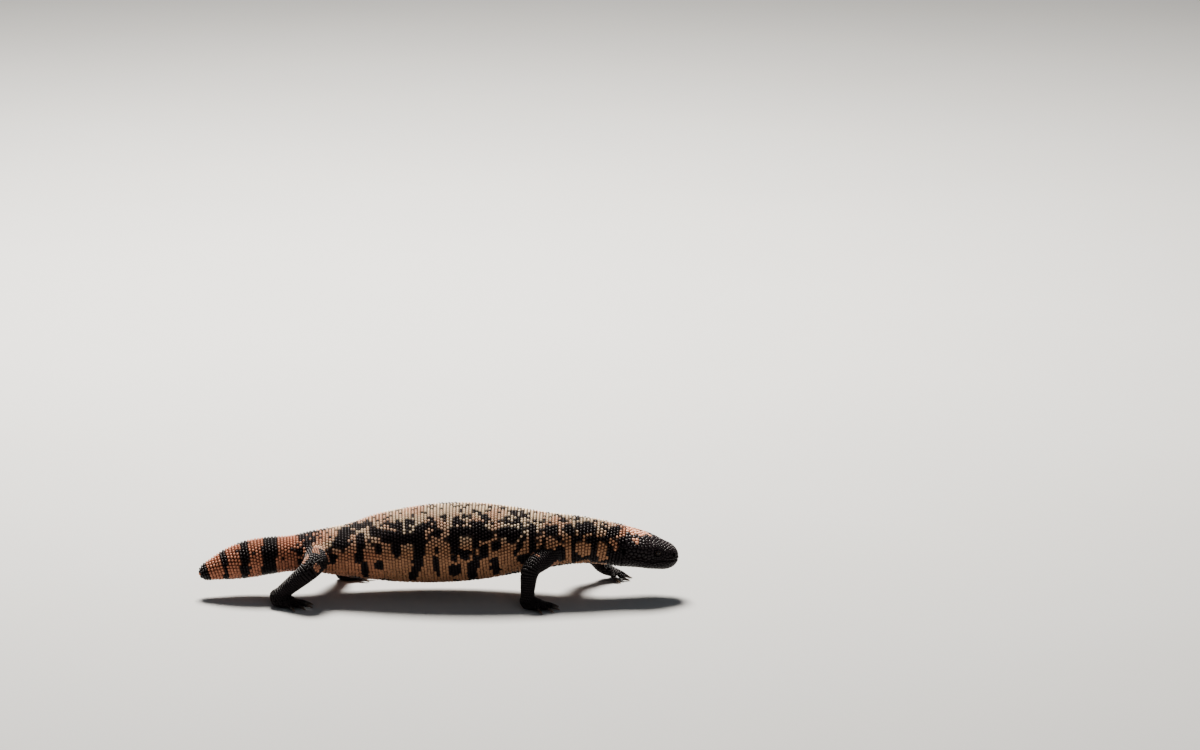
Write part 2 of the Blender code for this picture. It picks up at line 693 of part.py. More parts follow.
def mouth_line(surface):
    """Points on the head's surface, from one corner of the mouth round the snout to the other."""
    line = []
    for i in range(MOUTH_POINTS):
        swing = MOUTH_SWING * (2 * i / (MOUTH_POINTS - 1) - 1)
        way = Vector((math.cos(swing), math.sin(swing), MOUTH_SLOPE * math.cos(swing)))
        origin = MOUTH_CENTRE + Vector((0, 0, MOUTH_WAVE * math.sin(3 * abs(swing))))
        line.append(surface.ray_cast(origin, way)[0])
    return line


def make_head(trunk, flesh, cutters):
    """Skull and jaws as one form, with the mouth's line, nostrils, ears, sockets and lids."""
    count = count_for(trunk, trunk.along_at_x(HEAD_WIDEST_X), HEAD_PITCH)
    step = HEAD_PITCH / ROWS_IN_PITCH

    def faded(points):
        past_nape = np.clip((points[:, 0] - NAPE_X) / NAPE_FADE, 0, 1)
        mouth_level = MOUTH_CENTRE.z + MOUTH_SLOPE * (points[:, 0] - MOUTH_CENTRE.x)
        off_lips = np.clip(np.abs(points[:, 2] - mouth_level) / LIP_FADE, 0, 1)
        return HEAD_RELIEF * past_nape * off_lips + LEAST_RELIEF

    def shaped(points):
        at_nape = points[:, 0].max() < NAPE_X + NAPE_FADE / 2
        return points if at_nape else head_form(points)

    start, end = trunk.along_at_x(NAPE_X) + GAP / 2, trunk.along[-1]
    work = lattice(trunk, start, end, step, count, SCUTE_RISE, SCUTE_SINK, faded, shaped)
    head = object_of(work, "head", flesh)

    lids = collection("lids", hidden=True)
    for side in (-1, 1):
        for tilt in (-1, 1):
            tube(lid_points(side, tilt), LID_RADIUS, 6, "lid", lids)
    boolean(head, lids, "UNION")
    drop(*list(lids.objects))
    bpy.data.collections.remove(lids)

    work = bmesh.new()
    work.from_mesh(head.data)
    surface = BVHTree.FromBMesh(work)
    work.free()
    cuts = [tube(mouth_line(surface), MOUTH_RADIUS, 6, "mouth_line", cutters)]
    for side in (-1, 1):
        for origin, way, radius, stretch in (NOSTRIL, EAR):
            spot = surface.ray_cast(origin, on_side(way, side).normalized())[0]
            cuts.append(ball(spot, radius, "opening", cutters, stretch, 6, 8))
        cuts.append(ball(on_side(EYE_SPOT, side), EYE_RADIUS + GAP, "socket", cutters))
    for cut in cuts:
        boolean(head, cut, "DIFFERENCE")
    drop(*cuts)
    finish(head, "dark_skin")
    for side, name in ((-1, "right_eye"), (1, "left_eye")):
        finish(ball(on_side(EYE_SPOT, side), EYE_RADIUS, name, flesh), "eye")


clear_scene()
animal = collection("gila_monster")
helpers = collection("cutters", hidden=True)
trunk_line = trunk_run()
make_trunk(trunk_line, animal)
fore_cutter = root_cutter(trunk_line, BELLY_END, CHEST_END, helpers)
hind_cutter = root_cutter(trunk_line, VENT_X, HIPS_END, helpers)
for limb_name, limb_sizes in LIMBS.items():
    root_torso = fore_cutter if limb_name.endswith("fore") else hind_cutter
    make_limb(limb_name, limb_sizes, root_torso, animal, helpers)
drop(fore_cutter, hind_cutter)
make_head(trunk_line, animal, helpers)
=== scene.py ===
# The looks of a life-size Gila monster in mid-stride. It walks towards +X, its left side is +Y, and
# its soles stand on z = 0. All sizes are in metres.

import math

import bmesh
import bpy
import numpy as np
from mathutils import Matrix, Vector, noise
from mathutils.bvhtree import BVHTree
from mathutils.kdtree import KDTree


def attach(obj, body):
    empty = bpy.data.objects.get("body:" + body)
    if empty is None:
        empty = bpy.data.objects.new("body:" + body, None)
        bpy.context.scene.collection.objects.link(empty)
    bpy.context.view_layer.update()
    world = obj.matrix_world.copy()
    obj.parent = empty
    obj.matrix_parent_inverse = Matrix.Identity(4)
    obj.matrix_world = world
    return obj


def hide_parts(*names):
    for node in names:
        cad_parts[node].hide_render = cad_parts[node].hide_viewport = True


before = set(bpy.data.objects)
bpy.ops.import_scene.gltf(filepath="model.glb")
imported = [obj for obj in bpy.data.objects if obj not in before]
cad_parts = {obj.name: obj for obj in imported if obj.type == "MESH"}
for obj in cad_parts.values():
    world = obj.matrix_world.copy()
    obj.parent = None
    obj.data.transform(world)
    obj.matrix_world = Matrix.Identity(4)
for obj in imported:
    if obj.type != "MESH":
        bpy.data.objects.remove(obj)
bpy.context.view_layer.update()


# The trunk
# Tail, body, neck and head are one length of flesh along the spine, oval in section, fattest
# behind the ribs. The stations repeat the solids' own sizes: place along the body, height, sway to
# the left, half width and half height.
SNOUT_X, TAIL_X = 0.2000, -0.19975
TRUNK = np.array((
    (-0.2000, 0.0178, -0.0060, 0.0064, 0.0062),
    (-0.1900, 0.0216, -0.0050, 0.0088, 0.0085),
    (-0.1734, 0.0269, -0.0030, 0.0136, 0.0132),
    (-0.1600, 0.0301, -0.0014, 0.0160, 0.0154),
    (-0.1376, 0.0336, 0.0002, 0.0168, 0.0153),
    (-0.1210, 0.0350, 0.0008, 0.0178, 0.0147),
    (-0.1044, 0.0366, 0.0012, 0.0218, 0.0167),
    (-0.0852, 0.0371, 0.0018, 0.0256, 0.0198),
    (-0.0661, 0.0378, 0.0024, 0.0284, 0.0235),
    (-0.0495, 0.0398, 0.0029, 0.0311, 0.0274),
    (-0.0220, 0.0418, 0.0035, 0.0343, 0.0311),
    (0.0054, 0.0436, 0.0036, 0.0352, 0.0327),
    (0.0328, 0.0449, 0.0030, 0.0346, 0.0316),
    (0.0611, 0.0460, 0.0020, 0.0318, 0.0277),
    (0.0886, 0.0465, 0.0008, 0.0272, 0.0229),
    (0.1160, 0.0470, 0.0000, 0.0224, 0.0197),
    (0.1320, 0.0455, 0.0000, 0.0191, 0.0186),
    (0.1434, 0.0434, 0.0000, 0.0186, 0.0179),
    (0.1560, 0.0413, 0.0000, 0.0202, 0.0168),
    (0.1700, 0.0386, 0.0000, 0.0205, 0.0149),
    (0.1850, 0.0343, 0.0000, 0.0164, 0.0124),
    (0.1930, 0.0329, 0.0000, 0.0140, 0.0110),
    (0.2000, 0.0322, 0.0000, 0.0118, 0.0098),
))
TAIL_ROUNDING, TAIL_BLUNTNESS = 0.0080, 2.0
SNOUT_ROUNDING, SNOUT_BLUNTNESS = 0.0110, 2.3
SQUARENESS = 2.15
BELLY_WEIGHT = 0.62
BELLY_FROM, BELLY_BLEND = -0.25, 0.35
BODY_COAT = 0.0009
BODY_RINGS, END_RINGS = 420, 24
END_FROM, END_TO = 0.10, 1.5
OUTLINE_POINTS = 241
TRUNK_STEP, TRUNK_SIDES = 0.0010, 150


def smooth_through(knots, values, at):
    """Values at the given places, on a smooth curve through the knots."""
    knots, values = np.asarray(knots, float), np.asarray(values, float)
    slopes = np.gradient(values, knots, axis=0)
    at = np.clip(np.asarray(at, float), knots[0], knots[-1])
    low = np.clip(np.searchsorted(knots, at) - 1, 0, len(knots) - 2)
    span = (knots[low + 1] - knots[low])[:, None]
    t = (at - knots[low])[:, None] / span
    start, end = values[low], values[low + 1]
    return (
        (2 * t**3 - 3 * t**2 + 1) * start
        + (t**3 - 2 * t**2 + t) * span * slopes[low]
        + (3 * t**2 - 2 * t**3) * end
        + (t**3 - t**2) * span * slopes[low + 1]
    )


def unit(vectors):
    return vectors / np.maximum(np.linalg.norm(vectors, axis=-1, keepdims=True), 1e-12)


def fade_in(value, low, high):
    """Nought below low, one above high, and a smooth step between."""
    t = np.clip((value - low) / (high - low), 0, 1)
    return t * t * (3 - 2 * t)


class Run:
    """A length of flesh: a centre line, and an oval section square to it that changes along it."""

    def __init__(self, centres, halves, side, squareness=2.0, belly_weight=1.0):
        self.centres = np.asarray(centres, float)
        self.halves = np.asarray(halves, float)
        self.squareness = squareness
        self.belly_weight = belly_weight
        self.tangents = unit(np.gradient(self.centres, axis=0))
        side = np.asarray(side, float)
        self.sides = unit(side - (self.tangents @ side)[:, None] * self.tangents)
        self.ups = np.cross(self.tangents, self.sides)
        steps = np.linalg.norm(np.diff(self.centres, axis=0), axis=1)
        slope = np.diff(self.halves.mean(axis=1))
        self.along = np.concatenate([[0.0], np.cumsum(steps)])
        self.surface = np.concatenate([[0.0], np.cumsum(np.hypot(steps, slope))])

    def at(self, along, field):
        return np.array([np.interp(along, self.along, column) for column in field.T])

    def along_at_x(self, x):
        return float(np.interp(x, self.centres[:, 0], self.along))

    def evenly(self, start, end, step):
        """Places from start to end, even along the surface."""
        low, high = np.interp((start, end), self.along, self.surface)
        count = max(2, round((high - low) / step))
        return np.interp(np.linspace(low, high, count + 1), self.surface, self.along)

    def outline(self, along):
        """A dense outline of the section, as sideways and upward offsets, and its weighted girth."""
        half_width, half_height = self.at(along, self.halves)
        angle = np.linspace(0, 2 * math.pi, OUTLINE_POINTS)
        power = 2 / self.squareness
        sideways = half_width * np.sign(np.sin(angle)) * np.abs(np.sin(angle)) ** power
        upward = half_height * np.sign(np.cos(angle)) * np.abs(np.cos(angle)) ** power
        step = np.hypot(np.diff(sideways), np.diff(upward))
        mean_height = (upward[1:] + upward[:-1]) / 2 / max(abs(upward))
        low = np.clip((BELLY_FROM - mean_height) / BELLY_BLEND, 0, 1)
        weighted = step * (1 - low * (1 - self.belly_weight))
        return sideways, upward, np.concatenate([[0.0], np.cumsum(weighted)])

    def girth(self, along):
        return self.outline(along)[2][-1]

    def ring(self, along, turns, stand=0.0):
        """Points round the section, from the back over the left side, standing off it by stand."""
        sideways, upward, girth = self.outline(along)
        places = np.mod(turns, 1.0) * girth[-1]
        y, z = np.interp(places, girth, sideways), np.interp(places, girth, upward)
        half_width, half_height = self.at(along, self.halves)
        out = unit(np.stack([y / half_width**2, z / half_height**2], axis=1))
        y, z = y + out[:, 0] * stand, z + out[:, 1] * stand
        centre = self.at(along, self.centres)
        side, up = unit(self.at(along, self.sides)), unit(self.at(along, self.ups))
        return centre + y[:, None] * side + z[:, None] * up


def trunk_run(inward=0.0):
    """The whole body from the tail's tip to the snout, set inward from its outer surface."""
    tail_x, snout_x = TAIL_X + inward, SNOUT_X - inward
    ends = np.linspace(END_FROM, END_TO, END_RINGS)
    x = np.concatenate([
        tail_x + TAIL_ROUNDING * (1 - np.cos(ends)),
        np.linspace(tail_x + TAIL_ROUNDING, snout_x - SNOUT_ROUNDING, BODY_RINGS),
        snout_x - SNOUT_ROUNDING * (1 - np.cos(ends[::-1])),
    ])
    height, sway, half_width, half_height = smooth_through(TRUNK[:, 0], TRUNK[:, 1:], x).T
    to_tail = np.clip((tail_x + TAIL_ROUNDING - x) / TAIL_ROUNDING, 0, 1)
    to_snout = np.clip((x - snout_x + SNOUT_ROUNDING) / SNOUT_ROUNDING, 0, 1)
    taper = (1 - to_tail**TAIL_BLUNTNESS) ** (1 / TAIL_BLUNTNESS)
    taper *= (1 - to_snout**SNOUT_BLUNTNESS) ** (1 / SNOUT_BLUNTNESS)
    centres = np.stack([x, sway, height], axis=1)
    halves = np.stack([half_width - inward, half_height - inward], axis=1) * taper[:, None]
    return Run(centres, halves, (0, 1, 0), SQUARENESS, BELLY_WEIGHT)


# Each lump of the head is a place beside its middle line, a reach, and how far it stands out:
# brow, eye hollow, temple, jowl, canthus and the furrow down the crown.
HEAD_FORMS = (
    (0.1812, 0.0136, 0.0438, 0.0042, 0.0010),
    (0.1825, 0.0162, 0.0391, 0.0040, -0.0011),
    (0.1670, 0.0195, 0.0420, 0.0085, 0.0012),
    (0.1730, 0.0160, 0.0280, 0.0075, 0.0011),
    (0.1905, 0.0105, 0.0402, 0.0045, -0.0006),
    (0.1640, 0.0000, 0.0545, 0.0055, -0.0008),
)
MOUTH_CENTRE = Vector((0.1780, 0.0, 0.0334))
HEAD_AXIS_RISE = 0.004
NAPE_X = 0.1450


def bulge(away, rise, middle, breadth):
    """The height, at each distance away, of a smooth ridge that is highest at the middle."""
    return rise * np.exp(-(((away - middle) / breadth) ** 2))


def head_form(points):
    """Moves the head's points out or in by its lumps and hollows."""
    points = points.copy()
    axis = np.zeros_like(points)
    axis[:, 0] = np.minimum(points[:, 0], MOUTH_CENTRE.x)
    axis[:, 2] = MOUTH_CENTRE.z + HEAD_AXIS_RISE
    out = unit(points - axis)
    for x, y, z, reach, rise in HEAD_FORMS:
        for mirrored in (y, -y) if y else (0.0,):
            away = np.linalg.norm(points - np.array((x, mirrored, z)), axis=1)
            points += out * bulge(away, rise, 0.0, reach)[:, None]
    return points


class Shell:
    """Corners and faces gathered from closed tubes, ready to be joined into one body."""

    def __init__(self):
        self.points, self.faces = [], []

    def add(self, rings):
        """A closed tube through rings that have the same number of corners."""
        first, count = len(self.points), len(rings[0])
        for ring in rings:
            self.points.extend(ring)
        for k in range(len(rings) - 1):
            for j in range(count):
                a, b = first + k * count + j, first + k * count + (j + 1) % count
                self.faces.append((a, a + count, b + count, b))
        last = first + (len(rings) - 1) * count
        self.faces.append(tuple(range(first, first + count)))
        self.faces.append(tuple(range(last + count - 1, last - 1, -1)))

    def tube(self, run, step, count, form=lambda ring: ring):
        """A closed tube over the whole of a run, with each ring reshaped by the form."""
        turns = np.arange(count) / count
        self.add([form(run.ring(along, turns)) for along in run.evenly(0, run.along[-1], step)])


flesh = Shell()
trunk = trunk_run()
flesh.tube(trunk_run(BODY_COAT), TRUNK_STEP, TRUNK_SIDES, head_form)


# The limbs
# Four short, stout legs, each bent at the elbow or knee and thickened there, stand out from the
# body. They are lengths of flesh along the bent line from root to ankle, as in the solids.
FORE_RADII = (0.0104, 0.0079, 0.0056)
HIND_RADII = (0.0122, 0.0088, 0.0060)
BEND_RADIUS = 0.0125
LIMB_COAT = 0.0008
BEND_POINTS, LIMB_POINTS = 25, 90
LIMB_STEP, LIMB_SIDES = 0.0012, 40
LIMBS = {
    "right_fore": {
        "joints": ((0.0970, -0.0150, 0.0425), (0.0760, -0.0395, 0.0330), (0.0738, -0.0445, 0.0072)),
        "heading": -10,
        "foot": (0.0785, -0.0452, 0.0),
        "lift": 0.0,
    },
    "left_fore": {
        "joints": ((0.1030, 0.0150, 0.0420), (0.1125, 0.0385, 0.0325), (0.1325, 0.0445, 0.0160)),
        "heading": 8,
        "foot": (0.1385, 0.0455, 0.0),
        "lift": 0.0075,
    },
    "right_hind": {
        "joints": ((-0.0990, -0.0130, 0.0375), (-0.1040, -0.0400, 0.0330), (-0.1325, -0.0375, 0.0088)),
        "heading": -13,
        "foot": (-0.1275, -0.0378, 0.0),
        "lift": 0.0,
    },
    "left_hind": {
        "joints": ((-0.0960, 0.0150, 0.0370), (-0.0880, 0.0395, 0.0330), (-0.0815, 0.0432, 0.0095)),
        "heading": 16,
        "foot": (-0.0765, 0.0450, 0.0),
        "lift": 0.0,
    },
}


def radii_of(name):
    """The limb's radii at its root, its bend and its end."""
    return FORE_RADII if name.endswith("fore") else HIND_RADII


def limb_run(name, inward=0.0):
    """The limb's length of flesh, with the bend rounded, set inward from its outer surface."""
    root, bend, end = (np.array(joint) for joint in LIMBS[name]["joints"])
    into, out = unit(bend - root), unit(end - bend)
    back = BEND_RADIUS * math.tan(math.acos(float(np.clip(into @ out, -1, 1))) / 2)
    start, finish_at = bend - into * back, bend + out * back
    t = np.linspace(0, 1, BEND_POINTS)[:, None]
    arc = (1 - t) ** 2 * start + 2 * t * (1 - t) * bend + t**2 * finish_at
    dense = np.concatenate([[root], arc, [end]])
    along = np.concatenate([[0], np.cumsum(np.linalg.norm(np.diff(dense, axis=0), axis=1))])
    even = np.linspace(0, along[-1], LIMB_POINTS)
    path = np.stack([np.interp(even, along, dense[:, i]) for i in range(3)], axis=1)
    knots = (0, float(along[1 + BEND_POINTS // 2]), even[-1])
    half = smooth_through(knots, np.array(radii_of(name))[:, None], even) - inward
    side = unit(np.cross(bend - root, end - bend))
    return Run(path, np.repeat(half, 2, axis=1), side)


for limb_name in LIMBS:
    flesh.tube(limb_run(limb_name, LIMB_COAT), LIMB_STEP, LIMB_SIDES)


# The feet
# Each foot is a soft pad under the ankle with five short, thick toes spread from its front. The
# left forefoot is coming down, its heel still off the ground.
FORE_SOLE = (0.0098, 0.0086, 0.0052)
HIND_SOLE = (0.0112, 0.0088, 0.0054)
FORE_DIGITS = ((-52, 0.0150), (-25, 0.0180), (-2, 0.0190), (20, 0.0180), (46, 0.0148))
HIND_DIGITS = ((-44, 0.0160), (-20, 0.0190), (0, 0.0208), (20, 0.0206), (50, 0.0150))
ANKLE_SWELL = 1.12
FLAT_DEPTH = 0.0005
HEEL_WIDTH, TOE_HEIGHT, HEEL_LIFT = 0.80, 0.75, 1.35
DIGIT_RADIUS, DIGIT_TIP_RADIUS = 0.0029, 0.0021
DIGIT_TIP_CLEARANCE = 0.0006
DIGIT_START = 0.15
DIGIT_LIFT, KNUCKLE_LIFT = 0.60, 0.45
KNUCKLE_RISE, LEAST_ARCH = 0.0012, 0.0006
FOOT_COAT = 0.0005
SOLE_LEVEL = 0.0004
SOLE_RINGS, SOLE_SQUARENESS, LEAST_ROUNDING = 41, 3, 0.01
LEAST_HALF = 0.0002
ANKLE_RINGS, ANKLE_REACH = 21, 0.98
DIGIT_RINGS = 21
SOLE_STEP, SOLE_SIDES = 0.0010, 36
ANKLE_STEP, ANKLE_SIDES = 0.0008, 30
DIGIT_STEP, DIGIT_SIDES = 0.0009, 24


def foot_axes(limb):
    """The foot's heading, and its ways ahead and to its left."""
    heading = math.radians(limb["heading"])
    ahead = np.array((math.cos(heading), math.sin(heading), 0))
    return heading, ahead, np.array((-ahead[1], ahead[0], 0))


def sole_run(limb, sole, inward=0.0):
    """The pad under the ankle, which rises to the heel in a lifted foot."""
    _, ahead, across = foot_axes(limb)
    half_length, half_width, half_height = sole
    middle = np.array(limb["foot"]) + np.array((0, 0, half_height - FLAT_DEPTH))
    t = np.sin(np.linspace(-1, 1, SOLE_RINGS) * math.pi / 2)
    rounding = np.sqrt(np.maximum(1 - np.abs(t) ** SOLE_SQUARENESS, LEAST_ROUNDING))
    rise = limb["lift"] * HEEL_LIFT * (1 - t) / 2
    centres = middle + np.outer(t * (half_length - inward), ahead) + np.outer(rise, (0, 0, 1))
    widths = half_width * rounding * (HEEL_WIDTH + (1 - HEEL_WIDTH) * np.clip(t + 1, 0, 1))
    heights = half_height * rounding * (1 - (1 - TOE_HEIGHT) * np.clip(t, 0, 1))
    halves = np.maximum(np.stack([widths, heights], axis=1) - inward, LEAST_HALF)
    return Run(centres, halves, across)


def digit_run(limb, sole, turn, reach, inward=0.0):
    """One toe, arched over its knuckle."""
    heading, ahead, _ = foot_axes(limb)
    half_length, _, half_height = sole
    lift = limb["lift"]
    angle = heading + math.radians(turn)
    way = np.array((math.cos(angle), math.sin(angle), 0))
    start = np.array(limb["foot"]) - ahead * half_length * DIGIT_START
    start[2] += half_height - FLAT_DEPTH + lift * DIGIT_LIFT
    tip = start + way * reach
    tip[2] = DIGIT_TIP_RADIUS + DIGIT_TIP_CLEARANCE
    s = np.linspace(0, 1, DIGIT_RINGS)
    knuckle = DIGIT_RADIUS + KNUCKLE_RISE + lift * KNUCKLE_LIFT
    arch = max(knuckle - (start[2] + tip[2]) / 2, LEAST_ARCH)
    centre = start + np.outer(s, tip - start)
    centre[:, 2] += 4 * s * (1 - s) * arch
    half = DIGIT_RADIUS + (DIGIT_TIP_RADIUS - DIGIT_RADIUS) * s - inward
    return Run(centre, np.stack([half, half], axis=1), (-way[1], way[0], 0))


def ankle_run(limb, radius):
    """The ball of the ankle, a little fuller than the limb that ends in it."""
    ball = radius * ANKLE_SWELL - FOOT_COAT
    rise = np.linspace(-1, 1, ANKLE_RINGS) * ANKLE_REACH
    centres = np.array(limb["joints"][-1]) + np.outer(rise, (0, 0, 1)) * ball
    return Run(centres, np.repeat(np.sqrt(1 - rise**2), 2).reshape(-1, 2) * ball, (0, 1, 0))


def feet():
    """Each limb's name, its sizes, its sole's sizes and its toes."""
    for name, limb in LIMBS.items():
        fore = name.endswith("fore")
        yield name, limb, FORE_SOLE if fore else HIND_SOLE, FORE_DIGITS if fore else HIND_DIGITS


for limb_name, limb, sole, digits in feet():
    flesh.tube(sole_run(limb, sole, FOOT_COAT), SOLE_STEP, SOLE_SIDES)
    flesh.tube(ankle_run(limb, radii_of(limb_name)[2]), ANKLE_STEP, ANKLE_SIDES)
    for turn, reach in digits:
        flesh.tube(digit_run(limb, sole, turn, reach, FOOT_COAT), DIGIT_STEP, DIGIT_SIDES)


# The skin
# One whole hide over body, legs, feet and head, filled where the legs and toes leave the flesh,
# with the mouth, lips, nostrils, ear openings and the eyes' hollows worked into it.
SKIN_VOXEL = 0.0012
SMOOTHING_ROUNDS, SMOOTHING = 3, 0.5
CREASE_ROUNDS, CREASE_LEAST, CREASE_FILL = 45, 0.000004, 0.8
FINE_X, REFINING_ROUNDS = 0.152, 2
FACE_X, LIPS_REACH, EYE_REACH, HOLE_REACH = 0.158, 0.0022, 0.0062, 0.0034
EYE_RADIUS = 0.0026
EYE_SPOT = (0.1822, 0.0139, 0.0395)
GAZE = (0.18, 1.0, 0.12)
EYE_FRONT, EYE_SUNK = -0.001, 0.0012
LID_THICKNESS = 0.00035
LID_OPENING = (1.02, 0.70)
LID_SKIRT_RISE, LID_SKIRT = 0.0004, 0.0011
MOUTH_SLOPE = -0.115
MOUTH_WAVE = 0.0007
MOUTH_SWING, MOUTH_POINTS = math.radians(132), 65
NOSTRIL_FROM, NOSTRIL_WAY = Vector((0.1900, 0.0, 0.0352)), (0.62, 1.0, 0.10)
EAR_FROM, EAR_WAY = Vector((0.1535, 0.0, 0.0420)), (0.0, 1.0, 0.0)
EAR_HALVES = np.array((0.0013, 0.0020, 0.0026))
# Each cut and each swell beside it has its height, the distance of its middle and its breadth. The
# ear's distances are in its own half sizes, and its floor is flat between two of them.
MOUTH_CUT, LIP_SWELL = (0.0009, 0.0, 0.00042), (0.0003, 0.0014, 0.0008)
NOSTRIL_CUT, NOSTRIL_SWELL = (0.0016, 0.0, 0.00085), (0.0003, 0.0015, 0.0006)
EAR_DEPTH, EAR_WALL, EAR_SWELL = 0.0014, (0.75, 1.1), (0.0004, 1.35, 0.25)


def new_object(name, data):
    made = bpy.data.objects.new(name, data)
    bpy.context.scene.collection.objects.link(made)
    return made


def mesh_of(name, points, faces):
    mesh = bpy.data.meshes.new(name)
    mesh.from_pydata([tuple(point) for point in points], [], faces)
    mesh.update()
    return mesh


def settled(made):
    """The object's evaluated mesh as its own plain mesh, with no modifier left."""
    graph = bpy.context.evaluated_depsgraph_get()
    mesh = bpy.data.meshes.new_from_object(made.evaluated_get(graph))
    made.modifiers.clear()
    old = made.data
    made.data = mesh
    mesh.name = made.name
    bpy.data.meshes.remove(old)
    return made


def corners_of(mesh):
    points = np.empty(len(mesh.vertices) * 3, np.float32)
    mesh.vertices.foreach_get("co", points)
    return points.reshape(-1, 3).astype(float)


def normals_of(mesh):
    normals = np.empty(len(mesh.vertices) * 3, np.float32)
    mesh.vertex_normals.foreach_get("vector", normals)
    return normals.reshape(-1, 3).astype(float)


def move_corners(mesh, points):
    mesh.vertices.foreach_set("co", points.astype(np.float32).ravel())
    mesh.update()


class Neighbours:
    """The edges of a mesh, for taking each corner's mean neighbour."""

    def __init__(self, mesh):
        ends = np.empty(len(mesh.edges) * 2, np.int32)
        mesh.edges.foreach_get("vertices", ends)
        ends = ends.reshape(-1, 2)
        self.a = np.concatenate([ends[:, 0], ends[:, 1]])
        self.b = np.concatenate([ends[:, 1], ends[:, 0]])
        self.size = len(mesh.vertices)
        self.degree = np.maximum(np.bincount(self.a, minlength=self.size), 1)[:, None]

    def mean(self, values):
        sums = [np.bincount(self.a, values[self.b, i], self.size) for i in range(values.shape[1])]
        return np.stack(sums, axis=1) / self.degree


def fill_creases(mesh):
    """Moves only hollow corners outward, so that flesh fills the folds where limbs meet."""
    around = Neighbours(mesh)
    points = corners_of(mesh)
    for _ in range(SMOOTHING_ROUNDS):
        points += SMOOTHING * (around.mean(points) - points)
    move_corners(mesh, points)
    for _ in range(CREASE_ROUNDS):
        normals = normals_of(mesh)
        hollow = ((around.mean(points) - points) * normals).sum(axis=1)
        points += (np.maximum(hollow - CREASE_LEAST, 0) * CREASE_FILL)[:, None] * normals
        move_corners(mesh, points)


def refine(mesh, chosen):
    """Halves the edges among the chosen corners, and smooths them there without shrinking them."""
    work = bmesh.new()
    work.from_mesh(mesh)
    work.verts.ensure_lookup_table()
    picked = {work.verts[i] for i in np.nonzero(chosen(corners_of(mesh)))[0]}
    edges = [edge for edge in work.edges if edge.verts[0] in picked and edge.verts[1] in picked]
    bmesh.ops.subdivide_edges(work, edges=edges, cuts=1, use_grid_fill=True)
    work.to_mesh(mesh)
    work.free()
    mesh.update()
    around = Neighbours(mesh)
    points = corners_of(mesh)
    near = chosen(points)[:, None]
    for pull in (SMOOTHING, -SMOOTHING) * REFINING_ROUNDS:
        points += pull * near * (around.mean(points) - points)
    move_corners(mesh, points)


def on_side(place, side):
    return Vector((place[0], place[1] * side, place[2]))


def eye_axes(side):
    """The eye's centre, the way it looks out, and the level and upward ways across it."""
    out = on_side(GAZE, side).normalized()
    level = Vector((0, 0, 1)).cross(out).normalized()
    axes = (on_side(EYE_SPOT, side), out, level, out.cross(level))
    return tuple(np.array(axis) for axis in axes)


def away_from_line(points, line):
    """Each point's least distance to a line of points."""
    near = np.full(len(points), 1e9)
    for start, end in zip(line[:-1], line[1:]):
        span = end - start
        t = np.clip((points - start) @ span / (span @ span), 0, 1)
        near = np.minimum(near, np.linalg.norm(points - start - t[:, None] * span, axis=1))
    return near


def mouth_line(surface):
    """Points on the head from one corner of the mouth round the snout to the other."""
    line = []
    for share in np.linspace(-1, 1, MOUTH_POINTS):
        swing = MOUTH_SWING * share
        way = Vector((math.cos(swing), math.sin(swing), MOUTH_SLOPE * math.cos(swing)))
        origin = MOUTH_CENTRE + Vector((0, 0, MOUTH_WAVE * math.sin(3 * abs(swing))))
        line.append(np.array(surface.ray_cast(origin, way)[0]))
    return np.array(line)


def holes(surface, origin, way):
    """Where a hole opens on the right and on the left of the head."""
    return [np.array(surface.ray_cast(origin, on_side(way, side).normalized())[0])
            for side in (-1, 1)]


def near_face(points):
    """True for what lies by the mouth, an eye, a nostril or an ear."""
    close = (points[:, 0] > FACE_X) & (away_from_line(points, lips) < LIPS_REACH)
    for side in (-1, 1):
        close |= np.linalg.norm(points - eye_axes(side)[0], axis=1) < EYE_REACH
    for place in nostrils + ears:
        close |= np.linalg.norm(points - place, axis=1) < HOLE_REACH
    return close


def open_eyes(points):
    """Sinks the skin behind each eyeball and raises the lids over its rim."""
    lid = EYE_RADIUS + LID_THICKNESS
    for side in (-1, 1):
        centre, out, level, up = eye_axes(side)
        offset = points - centre
        a, b, depth = offset @ level, offset @ up, offset @ out
        around = a**2 + b**2
        over_lid = np.sqrt(np.maximum(lid**2 - around, 0))
        raised = np.where(around < lid**2, np.maximum(depth, over_lid), depth)
        skirt = bulge(np.sqrt(around), LID_SKIRT_RISE, lid, LID_SKIRT)
        raised += np.where(around >= lid**2, skirt, 0)
        slit = (a / (EYE_RADIUS * LID_OPENING[0])) ** 2 + (b / (EYE_RADIUS * LID_OPENING[1])) ** 2
        behind = np.sqrt(np.maximum(EYE_RADIUS**2 - around, 0)) - EYE_SUNK
        move = (np.where(slit < 1, behind, raised) - depth)[:, None] * out
        points = np.where((depth > EYE_FRONT)[:, None], points + move, points)
    return points


def cut_openings(points, normals):
    """Presses the line of the mouth, nostrils and ears in, and raises lips and rims beside them."""
    gap = away_from_line(points, lips)
    press = bulge(gap, *MOUTH_CUT) - bulge(gap, *LIP_SWELL)
    for place in nostrils:
        away = np.linalg.norm(points - place, axis=1)
        press += bulge(away, *NOSTRIL_CUT)
        press -= bulge(away, *NOSTRIL_SWELL)
    for place in ears:
        away = np.linalg.norm((points - place) / EAR_HALVES, axis=1)
        press += EAR_DEPTH * (1 - fade_in(away, *EAR_WALL))
        press -= bulge(away, *EAR_SWELL)
    return points - press[:, None] * normals


